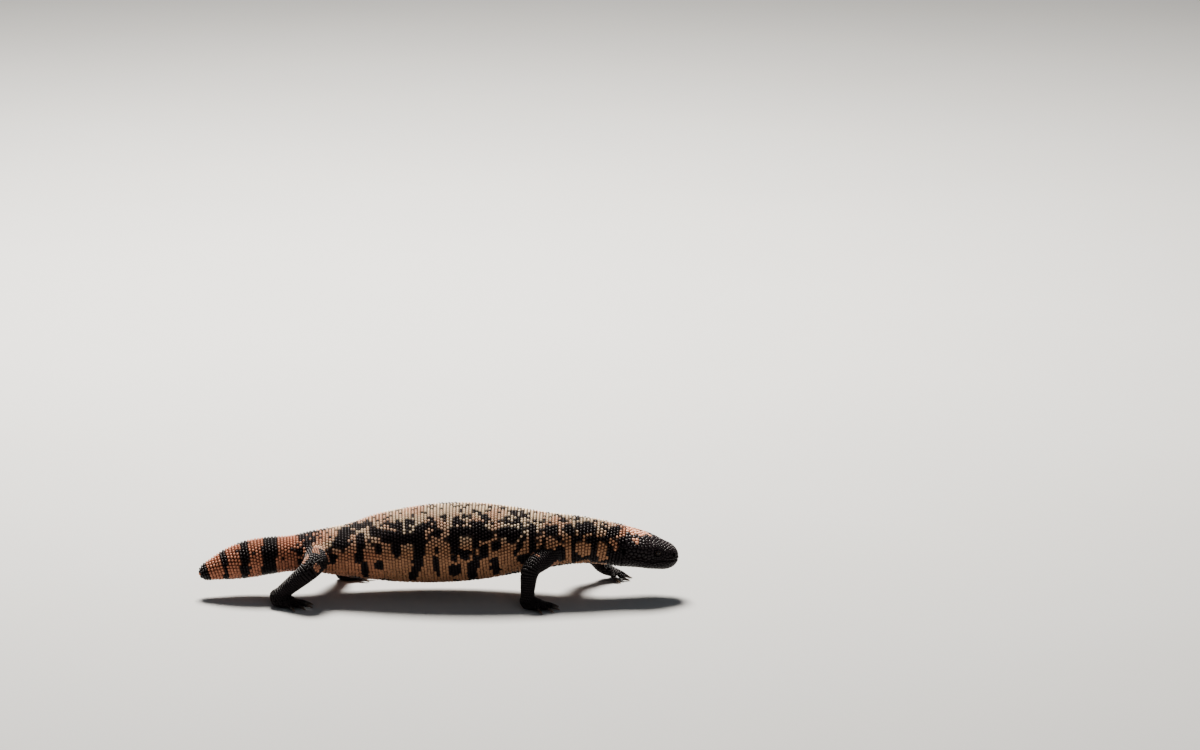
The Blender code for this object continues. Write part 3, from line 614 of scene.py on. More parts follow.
skin = new_object("skin", mesh_of("skin", flesh.points, flesh.faces))
remesh = skin.modifiers.new("one hide", "REMESH")
remesh.mode = "VOXEL"
remesh.voxel_size = SKIN_VOXEL
settled(skin)
fill_creases(skin.data)
refine(skin.data, lambda points: points[:, 0] > FINE_X)
work = bmesh.new()
work.from_mesh(skin.data)
surface = BVHTree.FromBMesh(work)
work.free()
lips = mouth_line(surface)
nostrils, ears = holes(surface, NOSTRIL_FROM, NOSTRIL_WAY), holes(surface, EAR_FROM, EAR_WAY)
refine(skin.data, near_face)
skin_points = corners_of(skin.data)
in_head = (skin_points[:, 0] > NAPE_X)[:, None]
skin_points = np.where(in_head, cut_openings(skin_points, normals_of(skin.data)), skin_points)
skin_points = np.where(in_head, open_eyes(skin_points), skin_points)
skin_points[:, 2] = np.maximum(skin_points[:, 2], SOLE_LEVEL)
move_corners(skin.data, skin_points)


# The markings
# The hide is cream to salmon pink on the back. On the flanks it is painted a darker tan below the
# line where shade falls, as painted shade, and its black is painted lighter on the upper body as a
# painted sheen of sunlight. It is clouded and blotched with black, netted with black on the neck and
# ringed with it on the tail. Head, throat, lower legs and feet are black, but for pink beads on the
# crown. Shapes on the flank are places as seen from the right side and a little above: along the
# body, height, half length, half height and lean.
SEEN_FROM = math.radians(14)
LEFT_SHIFT = 0.0085
BLOTCHES = (
    (-0.0835, 0.0440, 0.0036, 0.0062, 0.4),
    (-0.0765, 0.0520, 0.0052, 0.0036, 0.0),
    (-0.0780, 0.0435, 0.0040, 0.0052, 0.0),
    (-0.0680, 0.0570, 0.0052, 0.0026, 0.0),
    (-0.0640, 0.0400, 0.0034, 0.0125, 0.1),
    (-0.0605, 0.0200, 0.0030, 0.0075, -0.1),
    (-0.0900, 0.0300, 0.0060, 0.0050, 0.3),
    (-0.0515, 0.0525, 0.0054, 0.0038, 0.0),
    (-0.0492, 0.0385, 0.0026, 0.0040, 0.0),
    (-0.0480, 0.0245, 0.0036, 0.0036, 0.0),
    (-0.0400, 0.0485, 0.0064, 0.0052, 0.0),
    (-0.0335, 0.0420, 0.0037, 0.0105, 0.0),
    (-0.0250, 0.0462, 0.0080, 0.0042, 0.0),
    (-0.0150, 0.0480, 0.0056, 0.0092, 0.0),
    (-0.0160, 0.0325, 0.0045, 0.0095, 0.1),
    (-0.0195, 0.0185, 0.0038, 0.0085, 0.35),
    (-0.0010, 0.0518, 0.0040, 0.0028, 0.0),
    (-0.0005, 0.0375, 0.0018, 0.0032, 0.0),
    (-0.0012, 0.0240, 0.0017, 0.0085, -0.1),
    (0.0140, 0.0480, 0.0047, 0.0088, 0.0),
    (0.0195, 0.0538, 0.0066, 0.0034, 0.0),
    (0.0190, 0.0362, 0.0092, 0.0024, 0.0),
    (0.0135, 0.0312, 0.0027, 0.0025, 0.0),
    (0.0145, 0.0216, 0.0052, 0.0052, 0.0),
    (0.0225, 0.0316, 0.0036, 0.0024, 0.0),
    (0.0282, 0.0200, 0.0037, 0.0090, 0.15),
    (0.0318, 0.0400, 0.0027, 0.0135, 0.05),
    (0.0330, 0.0537, 0.0080, 0.0038, 0.0),
    (0.0400, 0.0497, 0.0058, 0.0038, 0.0),
    (0.0380, 0.0370, 0.0034, 0.0066, 0.0),
    (0.0330, 0.0280, 0.0027, 0.0052, 0.0),
    (0.0482, 0.0405, 0.0038, 0.0038, 0.0),
    (0.0476, 0.0247, 0.0037, 0.0068, 0.0),
    (0.0592, 0.0520, 0.0098, 0.0042, 0.0),
    (0.0608, 0.0464, 0.0047, 0.0032, 0.0),
    (0.0682, 0.0425, 0.0024, 0.0082, 0.55),
    (0.0785, 0.0530, 0.0042, 0.0058, 0.0),
    (0.0780, 0.0400, 0.0029, 0.0115, 0.0),
    (0.0725, 0.0300, 0.0064, 0.0034, 0.0),
    (0.0872, 0.0425, 0.0018, 0.0072, 0.35),
    (0.0943, 0.0535, 0.0056, 0.0046, 0.0),
    (0.1095, 0.0540, 0.0048, 0.0042, -0.5),
    (0.1010, 0.0468, 0.0027, 0.0024, 0.0),
    (0.1015, 0.0350, 0.0046, 0.0066, 0.0),
    (0.1225, 0.0402, 0.0125, 0.0170, 0.0),
    (0.1440, 0.0372, 0.0120, 0.0182, 0.0),
)
# Light windows, left open within the blotches and the net on the neck
WINDOWS = (
    (-0.0238, 0.0385, 0.0042, 0.0042, 0.0),
    (0.0330, 0.0360, 0.0016, 0.0032, 0.0),
    (0.1203, 0.0383, 0.0066, 0.0060, 0.0),
    (0.1214, 0.0455, 0.0013, 0.0030, 0.0),
    (0.1240, 0.0504, 0.0040, 0.0020, 0.0),
    (0.1148, 0.0520, 0.0017, 0.0036, 0.0),
    (0.1350, 0.0518, 0.0040, 0.0040, 0.0),
    (0.1360, 0.0365, 0.0042, 0.0086, 0.0),
    (0.1465, 0.0462, 0.0044, 0.0030, 0.0),
    (0.1470, 0.0415, 0.0024, 0.0040, 0.0),
    (0.1512, 0.0515, 0.0016, 0.0036, 0.0),
    (0.1210, 0.0278, 0.0042, 0.0016, 0.0),
)
# Clouds on the back, where most beads, but not all, are black
CLOUDS = (
    (-0.0900, 0.0590, 0.0060, 0.0035, 0.0),
    (-0.0640, 0.0610, 0.0050, 0.0040, 0.0),
    (-0.0410, 0.0590, 0.0050, 0.0045, 0.0),
    (-0.0270, 0.0620, 0.0082, 0.0075, 0.3),
    (-0.0070, 0.0590, 0.0062, 0.0058, 0.0),
    (0.0055, 0.0670, 0.0044, 0.0032, 0.0),
    (0.0185, 0.0620, 0.0060, 0.0050, 0.0),
    (0.0265, 0.0700, 0.0040, 0.0036, 0.0),
    (0.0310, 0.0580, 0.0070, 0.0030, 0.0),
    (0.0395, 0.0630, 0.0050, 0.0046, 0.0),
    (0.0450, 0.0700, 0.0044, 0.0028, 0.0),
    (0.0585, 0.0645, 0.0040, 0.0058, 0.0),
    (0.0660, 0.0600, 0.0034, 0.0050, 0.0),
    (0.0760, 0.0680, 0.0026, 0.0032, 0.0),
    (0.0820, 0.0635, 0.0034, 0.0050, 0.0),
    (0.0980, 0.0645, 0.0052, 0.0030, 0.0),
    (0.1150, 0.0630, 0.0020, 0.0026, 0.5),
    (0.1210, 0.0578, 0.0070, 0.0030, 0.0),
    (0.1305, 0.0595, 0.0020, 0.0040, 0.0),
    (0.1390, 0.0566, 0.0050, 0.0022, 0.0),
    (0.1480, 0.0550, 0.0050, 0.0020, 0.0),
)
# Bands round the tail: place along the spine, half breadth and lean
TAIL_BANDS = ((-0.1945, 0.0034, 0.0), (-0.1795, 0.0018, 0.20), (-0.1641, 0.0034, 0.19),
              (-0.1432, 0.0062, 0.16))
CREAM = np.array((0.90, 0.71, 0.52))
SALMON = np.array((0.74, 0.36, 0.23))
# The flank's tan is the pale colour darkened by painted shade, for the side below the shade line
SHADED_FLANK_TAN = np.array((0.47, 0.25, 0.145))
TAIL_PINK = np.array((0.68, 0.29, 0.18))
BLACK = np.array((0.0105, 0.0065, 0.0075))
CROWN_PINK, LIMB_PINK = SALMON * 1.02, SALMON * 0.62
# Each pattern has the size of its waves and the stretch of the noise that it takes. A pair of
# levels, from -1 under the belly to 1 on the back, or of places is where a change starts and ends.
RIPPLE, DRIFT, UPWARD_RIPPLE = (0.0060, 3.1), (0.0240, 7.7), (0.0070, 11.3)
BELLY_CLOUDS, TOP_CLOUDS, LIMB_SPOTS = (0.0130, 5.5), (0.0125, 9.2), (0.0070, 21.0)
NOISE_GAIN = 1.7
SHAPE_POWER = 3.2
EDGE_RIPPLE, BAND_RIPPLE, NECK_RIPPLE = 0.0008, 0.0007, 0.0010
BELLY_LEVELS, BELLY_EDGE, BELLY_RAGGED, BELLY_CLEAR = (0.72, 0.86), 0.6, 0.2, 0.12
TOP_LEVEL, TOP_CLEAR, NAPE_TOP_X = 0.86, 0.40, 0.1100
CLOUD_SHARE = 0.52
STRAY_SHARE, STRAY_LEVELS = 0.15, (0.10, 0.45)
BAND_START_X, BAND_STRAYS_FROM = -0.1230, 0.985
MOTTLED_FROM_X, MOTTLED_TO_X = -0.117, -0.101
MOTTLED_DRIFT, MOTTLED_CLEAR, MOTTLED_SHARE = 0.5, -0.1, 0.72
HEAD_BLACK_X, HEAD_STRAYS_FROM = 0.1525, 0.90
CROWN_HEIGHT, CROWN_RAGGED = 0.0492, 0.0022
CROWN_END_X, CROWN_THINNING = 0.1900, 0.016
TEMPLE_SPOT = (0.1635, 0.0458, 0.0026, 0.0024, 0.0)
THROAT_X, THROAT_HEIGHT = 0.1400, 0.0262
LIMB_SPOTS_END, LIMB_CLEAR, LIMB_CLEARING, LIMB_CLEARING_AT = 0.70, 0.28, 0.9, (0.35, 0.62)
WARM_RIPPLE, WARM_CHANCE, WARM_RANGE, WARMEST = 0.4, 0.5, (-0.35, 0.55), 0.60
# Levels where the painted shade of the flank gives way to the lit back, raised on the neck
SHADE_LINE_LEVELS, NECK_SHADE_DROP, NECK_SHADE_DROP_AT = (0.05, 0.65), 0.30, (0.090, 0.120)
# Two steps of rosy colour towards the tail: share, and how far behind the middle it comes in
ROSE_STEPS = ((0.45, 0.034, 0.056), (0.55, 0.085, 0.125))
RUMP_CREAM, RUMP_AT, UPPER_LEVELS = 0.9, (-0.105, -0.085), (0.1, 0.6)
ROSE_LEVELS, ROSE_BELOW, ROSE_ABOVE = (-0.3, 0.6), 0.78, 0.22
CROWN_PINK_AT = (0.138, 0.156)
# Tone of the black and its ripple; over the upper levels the black also takes a painted sheen
DARK_GAIN, DARK_CLOUDING = 1.3, 0.3
OUTSIDE_TRUNK = 1.10
LIMB_STRIDE, LIMB_CLOSE, LIMB_SHOWS_FROM = 3, 0.003, 0.12
FOOT_AHEAD, FOOT_REACH, FOOT_TOP = 0.006, 0.026, 0.0125


def wavy(points, size, offset):
    """Smooth noise from about -1 to 1, with waves of the given size."""
    shift = Vector((offset, 1.7 * offset, -2.3 * offset))
    return np.array([noise.noise(Vector(point / size) + shift) for point in points]) * NOISE_GAIN


def strongest(shapes, x, height):
    """How far inside the nearest of the shapes each place is, above nought inside."""
    value = np.full(len(x), -9.0)
    for centre_x, centre_height, half_length, half_height, lean in shapes:
        rise = height - centre_height
        ahead = np.abs((x - centre_x - lean * rise) / half_length) ** SHAPE_POWER
        value = np.maximum(value, 1 - ahead - np.abs(rise / half_height) ** SHAPE_POWER)
    return value


def on_spine(points):
    """Each point's place along the spine, its level from belly to back, and how far aside it is."""
    x = points[:, 0]
    centre, sway, _, half_height = smooth_through(TRUNK[:, 0], TRUNK[:, 1:], x).T
    slopes = trunk.tangents[:, 1:] / trunk.tangents[:, :1]
    lean = np.stack([np.interp(x, trunk.centres[:, 0], column) for column in slopes.T], axis=1)
    aside, above = points[:, 1] - sway, points[:, 2] - centre
    return x + aside * lean[:, 0] + above * lean[:, 1], above / half_height, aside, sway


def on_limb(points):
    """How far down a limb each point is, from nought at its root to one, or -1 off the limbs."""
    share = np.full(len(points), -1.0)
    _, level, aside, _ = on_spine(points)
    half_width = smooth_through(TRUNK[:, 0], TRUNK[:, 3:4], points[:, 0])[:, 0]
    section = np.abs(aside / half_width) ** SQUARENESS + np.abs(level) ** SQUARENESS
    outside = section > OUTSIDE_TRUNK
    for name, limb in LIMBS.items():
        run = limb_run(name)
        near = np.full(len(points), 1e9)
        place = np.zeros(len(points))
        stretches = zip(run.along, run.centres, run.halves[:, 0])
        for along, centre, half in list(stretches)[::LIMB_STRIDE]:
            away = np.linalg.norm(points - centre, axis=1) / (half + LIMB_CLOSE)
            place = np.where(away < near, along / run.along[-1], place)
            near = np.minimum(near, away)
        share = np.where(outside & (near < 1) & (place > LIMB_SHOWS_FROM), place, share)
        foot = np.array(limb["foot"]) + foot_axes(limb)[1] * FOOT_AHEAD
        by_foot = np.linalg.norm((points - foot)[:, :2], axis=1) < FOOT_REACH
        low = points[:, 2] < FOOT_TOP + limb["lift"]
        share = np.where(outside & by_foot & low & (share < 0), 1.0, share)
    return share


def body_black(points, chance, x, height, level):
    """Blotches with their windows, loose clouds on belly and back, and stray black beads."""
    black = (strongest(BLOTCHES, x, height) > 0) & (strongest(WINDOWS, x, height) < 0)
    below = chance * BELLY_RAGGED + fade_in(-level, *BELLY_LEVELS) > BELLY_EDGE
    black = np.where(below, wavy(points, *BELLY_CLOUDS) > BELLY_CLEAR, black)
    on_top = (level > TOP_LEVEL) & (x < NAPE_TOP_X)
    cloud = np.where(on_top, wavy(points, *TOP_CLOUDS) > TOP_CLEAR,
                     strongest(CLOUDS, x, height) > 0)
    strays = chance > 1 - STRAY_SHARE * fade_in(level, *STRAY_LEVELS)
    return black | (cloud & (chance < CLOUD_SHARE)) | strays


def tail_black(points, chance, square_x, ripple, drift, black):
    """Bands round the tail, and mottling ahead of them at its root."""
    banded = chance > BAND_STRAYS_FROM
    for middle, half, lean in TAIL_BANDS:
        across = square_x + BAND_RIPPLE * ripple - middle - lean * (points[:, 2] - TRUNK[0, 1])
        banded |= np.abs(across) < half
    mottled = (square_x > MOTTLED_FROM_X) & (square_x < MOTTLED_TO_X) & (chance < MOTTLED_SHARE)
    mottled &= ripple + MOTTLED_DRIFT * drift > MOTTLED_CLEAR
    return np.where(square_x < BAND_START_X, banded, black | mottled)


def head_black(points, chance, x, height, ripple, black):
    """Black from the back of the head on, but for the crown and a spot on the temple."""
    crown = height > CROWN_HEIGHT + CROWN_RAGGED * (chance - 0.5) + EDGE_RIPPLE * ripple
    crown &= points[:, 0] < CROWN_END_X - CROWN_THINNING * chance**2
    crown |= strongest((TEMPLE_SPOT,), x, height) > 0
    past_neck = points[:, 0] + NECK_RIPPLE * ripple > HEAD_BLACK_X
    throat = (points[:, 0] > THROAT_X) & (height < THROAT_HEIGHT)
    return np.where(past_neck, ~crown | (chance > HEAD_STRAYS_FROM), black | throat)


def limb_black(points, limb, black):
    """Black limbs, with fewer and fewer light spots down to the wrist."""
    clear = LIMB_CLEAR + LIMB_CLEARING * fade_in(limb, *LIMB_CLEARING_AT)
    spots = (limb < LIMB_SPOTS_END) & (wavy(points, *LIMB_SPOTS) > clear)
    return np.where(limb >= 0, ~spots, black)


def light_colour(x, chance, level, ripple, drift):
    """Cream to salmon on the back, painted-shade tan on the flank, rosier on tail and crown."""
    warm = drift + WARM_RIPPLE * ripple + WARM_CHANCE * (chance - 0.5)
    warm = fade_in(warm, *WARM_RANGE)[:, None]
    back = CREAM + (SALMON - CREAM) * warm * WARMEST
    # Below the shade line the flank is painted tan as painted shade; on the neck the line lies higher
    lift = fade_in(level - NECK_SHADE_DROP * fade_in(x, *NECK_SHADE_DROP_AT), *SHADE_LINE_LEVELS)[:, None]
    light = SHADED_FLANK_TAN + (back - SHADED_FLANK_TAN) * lift
    to_tail = sum(share * fade_in(-x, start, end) for share, start, end in ROSE_STEPS)
    to_tail *= 1 - RUMP_CREAM * fade_in(level, *UPPER_LEVELS) * fade_in(x, *RUMP_AT)
    # The tail's pink is darker towards its underside
    rosy = TAIL_PINK * (ROSE_BELOW + ROSE_ABOVE * fade_in(level, *ROSE_LEVELS))[:, None]
    light = light + (rosy - light) * to_tail[:, None]
    return light + (CROWN_PINK - light) * fade_in(x, *CROWN_PINK_AT)[:, None]


def marking(points, chance):
    """The hide's colour at each point. Chance, from nought to one, sorts out the single beads."""
    square_x, level, aside, sway = on_spine(points)
    ripple, drift = wavy(points, *RIPPLE), wavy(points, *DRIFT)
    x = points[:, 0] + EDGE_RIPPLE * ripple - np.where(aside > 0, LEFT_SHIFT, 0)
    height = points[:, 2] * math.cos(SEEN_FROM) + (sway - np.abs(aside)) * math.sin(SEEN_FROM)
    height = height + EDGE_RIPPLE * wavy(points, *UPWARD_RIPPLE)
    limb = on_limb(points)
    black = body_black(points, chance, x, height, level)
    black = tail_black(points, chance, square_x, ripple, drift, black)
    black = head_black(points, chance, x, height, ripple, black)
    black = limb_black(points, limb, black)
    light = light_colour(points[:, 0], chance, level, ripple, drift)
    light = np.where((limb >= 0)[:, None], LIMB_PINK, light)
    # Black varies in tone, and is painted up to twice as light on the upper body as a painted sheen of
    # sunlight on the dark beads
    black_tone_and_sheen = (DARK_GAIN + DARK_CLOUDING * ripple) * (1 + fade_in(level, *UPPER_LEVELS))
    return np.where(black[:, None], BLACK * black_tone_and_sheen[:, None], light)


FIELDS = {"FLOAT": ("value", 1), "FLOAT_VECTOR": ("vector", 3), "FLOAT_COLOR": ("color", 4)}


def store(mesh, name, kind, values):
    """Keeps a value of the given kind at each corner of the mesh."""
    layer = mesh.attributes.new(name, kind, "POINT")
    layer.data.foreach_set(FIELDS[kind][0], np.asarray(values, np.float32).ravel())


def taken(mesh, name):
    """The values kept at the corners under a name, which are then removed from the mesh."""
    layer = mesh.attributes[name]
    field, width = FIELDS[layer.data_type]
    values = np.empty(len(layer.data) * width, np.float32)
    layer.data.foreach_get(field, values)
    mesh.attributes.remove(layer)
    return values.reshape(-1, width)


def paint(mesh, colours):
    """Keeps the hide's colour at each corner of the mesh."""
    filled = np.ones((len(colours), 4), np.float32)
    filled[:, :3] = colours
    store(mesh, "marking", "FLOAT_COLOR", filled)


class Graph:
    """A short way to write a node tree: nodes by type, with their inputs by place or by name."""

    def __init__(self, tree):
        self.tree = tree

    def add(self, kind, settings=None, *values, **named):
        node = self.tree.nodes.new(kind)
        for name, value in (settings or {}).items():
            setattr(node, name, value)
        for i, value in enumerate(values):
            self.put(node.inputs[i], value)
        self.fill(node, **named)
        return node

    def fill(self, node, **named):
        for name, value in named.items():
            name = name.replace("_", " ")
            matching = [socket for socket in node.inputs if socket.enabled and socket.name == name]
            self.put(matching[0], value)

    def put(self, socket, value):
        if isinstance(value, bpy.types.NodeSocket):
            self.tree.links.new(value, socket)
        else:
            socket.default_value = value


def new_material(name):
    material = bpy.data.materials.new(name)
    material.use_nodes = True
    graph = Graph(material.node_tree)
    return material, graph, material.node_tree.nodes["Principled BSDF"]


CLOUDING_SCALE, LEAST_SHADE, MOST_SHADE = 420.0, 0.80, 1.18
LESS_ROUGH, MORE_ROUGH = 0.08, 0.10


def hide_material(name, shade, roughness, grain_size, grain_depth, gloss=0.35):
    """The painted hide: its own colour with fine clouding, and a fine grain."""
    material, graph, shader = new_material(name)
    place = graph.add("ShaderNodeTexCoord").outputs["Object"]
    colour = graph.add("ShaderNodeAttribute", {"attribute_name": "marking"}).outputs["Color"]
    clouds = graph.add("ShaderNodeTexNoise", Vector=place, Scale=CLOUDING_SCALE, Detail=3.0)
    strength = graph.add("ShaderNodeMapRange", Value=clouds.outputs["Fac"],
                         To_Min=shade * LEAST_SHADE, To_Max=shade * MOST_SHADE)
    tinted = graph.add("ShaderNodeVectorMath", {"operation": "SCALE"}, colour,
                       Scale=strength.outputs["Result"])
    rough = graph.add("ShaderNodeMapRange", Value=clouds.outputs["Fac"],
                      To_Min=roughness - LESS_ROUGH, To_Max=roughness + MORE_ROUGH)
    grain = graph.add("ShaderNodeTexNoise", Vector=place, Scale=1 / grain_size, Detail=2.0)
    bump = graph.add("ShaderNodeBump", Height=grain.outputs["Fac"], Strength=0.5,
                     Distance=grain_depth)
    graph.fill(shader, Base_Color=tinted.outputs["Vector"], Roughness=rough.outputs["Result"],
               Normal=bump.outputs["Normal"], Specular_IOR_Level=gloss)
    return material


SKIN_CHANCE = 0.35
# The bare hide between the beads is painted darker, as painted shade in the grooves between them,
# darkest on the back, with a little black of its own added
BACK_GROOVE_SHADE, FLANK_GROOVE_SHADE, GROOVE_SHADE_LEVELS = 0.12, 0.34, (-0.1, 0.4)
GROOVE_BLACK = 0.4
skin_points = corners_of(skin.data)
to_back = fade_in(on_spine(skin_points)[1], *GROOVE_SHADE_LEVELS)
grooves = FLANK_GROOVE_SHADE + (BACK_GROOVE_SHADE - FLANK_GROOVE_SHADE) * to_back
skin_colours = marking(skin_points, np.full(len(skin_points), SKIN_CHANCE))
paint(skin.data, skin_colours * grooves[:, None] + BLACK * GROOVE_BLACK)
skin.data.materials.append(hide_material("bare_hide", shade=1.0, roughness=0.80, grain_size=0.0007,
                                         grain_depth=0.0003, gloss=0.04))
skin.data.shade_smooth()
FLESH_NODES = ["head", "neck", "chest", "belly", "hips", "tail_base", "tail_middle", "tail_tip"]
FLESH_NODES += [side + part for side in ("right_", "left_")
                for part in ("upper_arm", "forearm", "hand", "thigh", "shank", "foot")]
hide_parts(*FLESH_NODES)
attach(skin, "root")


# The beads
# Bony beads under the skin, each a small dome, lie in staggered rows square to the spine. Down the
# flanks they flatten into upright tiles, and on the legs and feet they are finer.
ROW_STEP, BEAD_PITCH, LEAST_IN_ROW = 0.00265, 0.0029, 7
LIMB_ROW, LIMB_PITCH, LEAST_ON_LIMB = 0.00195, 0.00240, 10
TOE_ROW, TOE_PITCH, LEAST_ON_TOE = 0.00165, 0.00175, 8
FOOT_PITCH, LIMB_THINNING = 0.00185, 0.15
TRUNK_END_X = 0.1520
BODY_ROWS_FROM, LIMB_ROWS_FROM, TOE_SHOWS_FROM = 0.0030, 0.004, 0.42
TILE_LEVELS = (-0.40, 0.22)
BEAD_HEIGHT, TILE_HEIGHT = 0.00140, 0.00062
LIMB_BEAD_HEIGHT, TOE_BEAD_HEIGHT, SOLE_BEAD_HEIGHT = 0.00100, 0.00060, 0.00035
CROWDING, FILLING, LIMB_FILLING = 0.70, 0.84, 0.64
FULL_BEAD, FULL_TILE, FULL_GRAIN = 0.425, 0.475, 0.53
BEAD_SHARE_OF_ROW, TILE_GAP = 0.455, 0.02
FILLER_HEIGHT, WIDEST_FILLER, FILLER_NEIGHBOURS = 0.40, 1.4, 4
OFF_HIDE, BURIED, TOE_BURIED = 0.004, 0.0016, 0.0008
BY_SOLE = 3 * SOLE_LEVEL
FOOT_SHARE = 0.9
SOFTENING_ROUNDS = 4
BEAD_CELL = 0.0025

hide = BVHTree.FromObject(skin, bpy.context.evaluated_depsgraph_get())
soft_normals = normals_of(skin.data)
skin_links = Neighbours(skin.data)
for _ in range(SOFTENING_ROUNDS):
    soft_normals = unit(soft_normals + skin_links.mean(soft_normals))
face_normals = unit(np.array([soft_normals[list(polygon.vertices)].mean(axis=0)
                              for polygon in skin.data.polygons]))


class Crowd:
    """Finds whether any spot taken so far is nearer than a distance."""

    def __init__(self, cell):
        self.cell, self.taken = cell, {}

    def key(self, point):
        return tuple(int(math.floor(value / self.cell)) for value in point)

    def near(self, point, reach):
        x, y, z = self.key(point)
        around = (-1, 0, 1)
        for cell in ((x + i, y + j, z + k) for i in around for j in around for k in around):
            for other in self.taken.get(cell, ()):
                if sum((a - b) ** 2 for a, b in zip(point, other)) < reach * reach:
                    return True
        return False

    def add(self, point):
        self.taken.setdefault(self.key(point), []).append(tuple(point))


class Coat:
    """The spots where beads are rooted: place, way out, way along, half sizes and bake place."""

    def __init__(self):
        self.rows, self.crowd = [], Crowd(BEAD_CELL)

    def root(self, point, lie, sizes, group, bake, spacing, deep=BURIED):
        """Adds a bead where the point falls on the hide, unless another is too near."""
        spot, _, face, away = hide.find_nearest(Vector(point))
        out = face_normals[face]
        if away > OFF_HIDE or (Vector(point) - spot).dot(Vector(out)) < -deep:
            return
        if self.crowd.near(spot, spacing):
            return
        self.crowd.add(spot)
        self.rows.append((tuple(spot), tuple(out), tuple(lie), sizes, group, bake))


coat = Coat()
# The coat's flat map: left, foot, breadth and height of the part for the body and of the first
# limb's parts. Those of the other limbs follow side by side.
BODY_MAP = (0.02, 0.41, 0.96, 0.57)
LIMB_MAP = (0.02, 0.21, 0.21, 0.17)
FOOT_MAP, SOLE_MAP = (0.11, 0.05, 0.17, 0.09), (0.11, 0.15, 0.17, 0.09)
MAP_STEP = 0.245
FOOT_SPAN = 0.05
BAKE_PATCH = 0.003


def in_map(part, across, up, limb_name=None):
    """A place within a part of the flat map."""
    left, foot, breadth, height = part
    step = MAP_STEP * list(LIMBS).index(limb_name) if limb_name else 0.0
    return (left + step + breadth * across, foot + height * up)


def body_bake(along, turn):
    """The place of a spot on the body in its flat map, from the way along and round the trunk."""
    share = np.interp(along, trunk.along, trunk.surface) / trunk.surface[-1]
    return in_map(BODY_MAP, share, turn % 1.0)


def body_turn(point):
    """How far round the trunk a point lies, from the back over the left side."""
    centre = trunk.at(trunk.along_at_x(point[0]), trunk.centres)
    return math.atan2(point[1] - centre[1], point[2] - centre[2]) / (2 * math.pi)


def foot_bake(limb_name, point):
    """The place of a spot on a foot in its flat map, seen from above, or from below on the sole."""
    _, ahead, across = foot_axes(LIMBS[limb_name])
    offset = (np.array(point) - LIMBS[limb_name]["foot"]) / FOOT_SPAN
    part = SOLE_MAP if point[2] < 2 * SOLE_LEVEL else FOOT_MAP
    return in_map(part, float(offset @ ahead), float(offset @ across), limb_name)


def staggered(row, girth, pitch, least):
    """Turns round one row of beads, which starts half a bead on from the row before it."""
    count = max(least, round(girth / pitch))
    return (np.arange(count) + 0.5 * (row % 2)) / count


for row, along in enumerate(trunk.evenly(BODY_ROWS_FROM, trunk.along_at_x(TRUNK_END_X), ROW_STEP)):
    turns = staggered(row, trunk.girth(along), BEAD_PITCH, LEAST_IN_ROW)
    ring = trunk.ring(along, turns)
    centre, tangent = trunk.at(along, trunk.centres), trunk.at(along, trunk.tangents)
    gaps = np.linalg.norm(np.roll(ring, -1, axis=0) - np.roll(ring, 1, axis=0), axis=1) / 2
    level = (ring[:, 2] - centre[2]) / trunk.at(along, trunk.halves)[1]
    for point, turn, gap, low in zip(ring, turns, gaps, 1 - fade_in(level, *TILE_LEVELS)):
        sizes = (ROW_STEP * (BEAD_SHARE_OF_ROW - TILE_GAP * low),
                 gap * (FULL_BEAD + (FULL_TILE - FULL_BEAD) * low),
                 BEAD_HEIGHT + (TILE_HEIGHT - BEAD_HEIGHT) * low)
        coat.root(point, tangent, sizes, "tiles" if low > 0.5 else "beads",
                  body_bake(along, turn), BEAD_PITCH * CROWDING)

for limb_name in LIMBS:
    run = limb_run(limb_name)
    for row, along in enumerate(run.evenly(LIMB_ROWS_FROM, run.along[-1], LIMB_ROW)):
        share = along / run.along[-1]
        pitch = LIMB_PITCH * (1 - LIMB_THINNING * share)
        turns = staggered(row, run.girth(along), pitch, LEAST_ON_LIMB)
        height = LIMB_BEAD_HEIGHT + (TOE_BEAD_HEIGHT - LIMB_BEAD_HEIGHT) * share
        for point, turn in zip(run.ring(along, turns), turns):
            coat.root(point, run.at(along, run.tangents), (LIMB_ROW / 2, LIMB_ROW / 2, height),
                      limb_name, in_map(LIMB_MAP, share, turn, limb_name), LIMB_PITCH * CROWDING)

for limb_name, limb, sole, digits in feet():
    for digit_turn, reach in digits:
        toe = digit_run(limb, sole, digit_turn, reach)
        start = toe.along[-1] * TOE_SHOWS_FROM
        for row, along in enumerate(toe.evenly(start, toe.along[-1], TOE_ROW)):
            for point in toe.ring(along, staggered(row, toe.girth(along), TOE_PITCH, LEAST_ON_TOE)):
                if point[2] >= BY_SOLE:
                    sizes = (TOE_ROW / 2, TOE_ROW / 2, TOE_BEAD_HEIGHT)
                    coat.root(point, toe.at(along, toe.tangents), sizes, limb_name + "_foot",
                              foot_bake(limb_name, point), TOE_PITCH * CROWDING, TOE_BURIED)


def tree_of(places):
    tree = KDTree(len(places))
    for i, place in enumerate(places):
        tree.insert(place, i)
    tree.balance()
    return tree


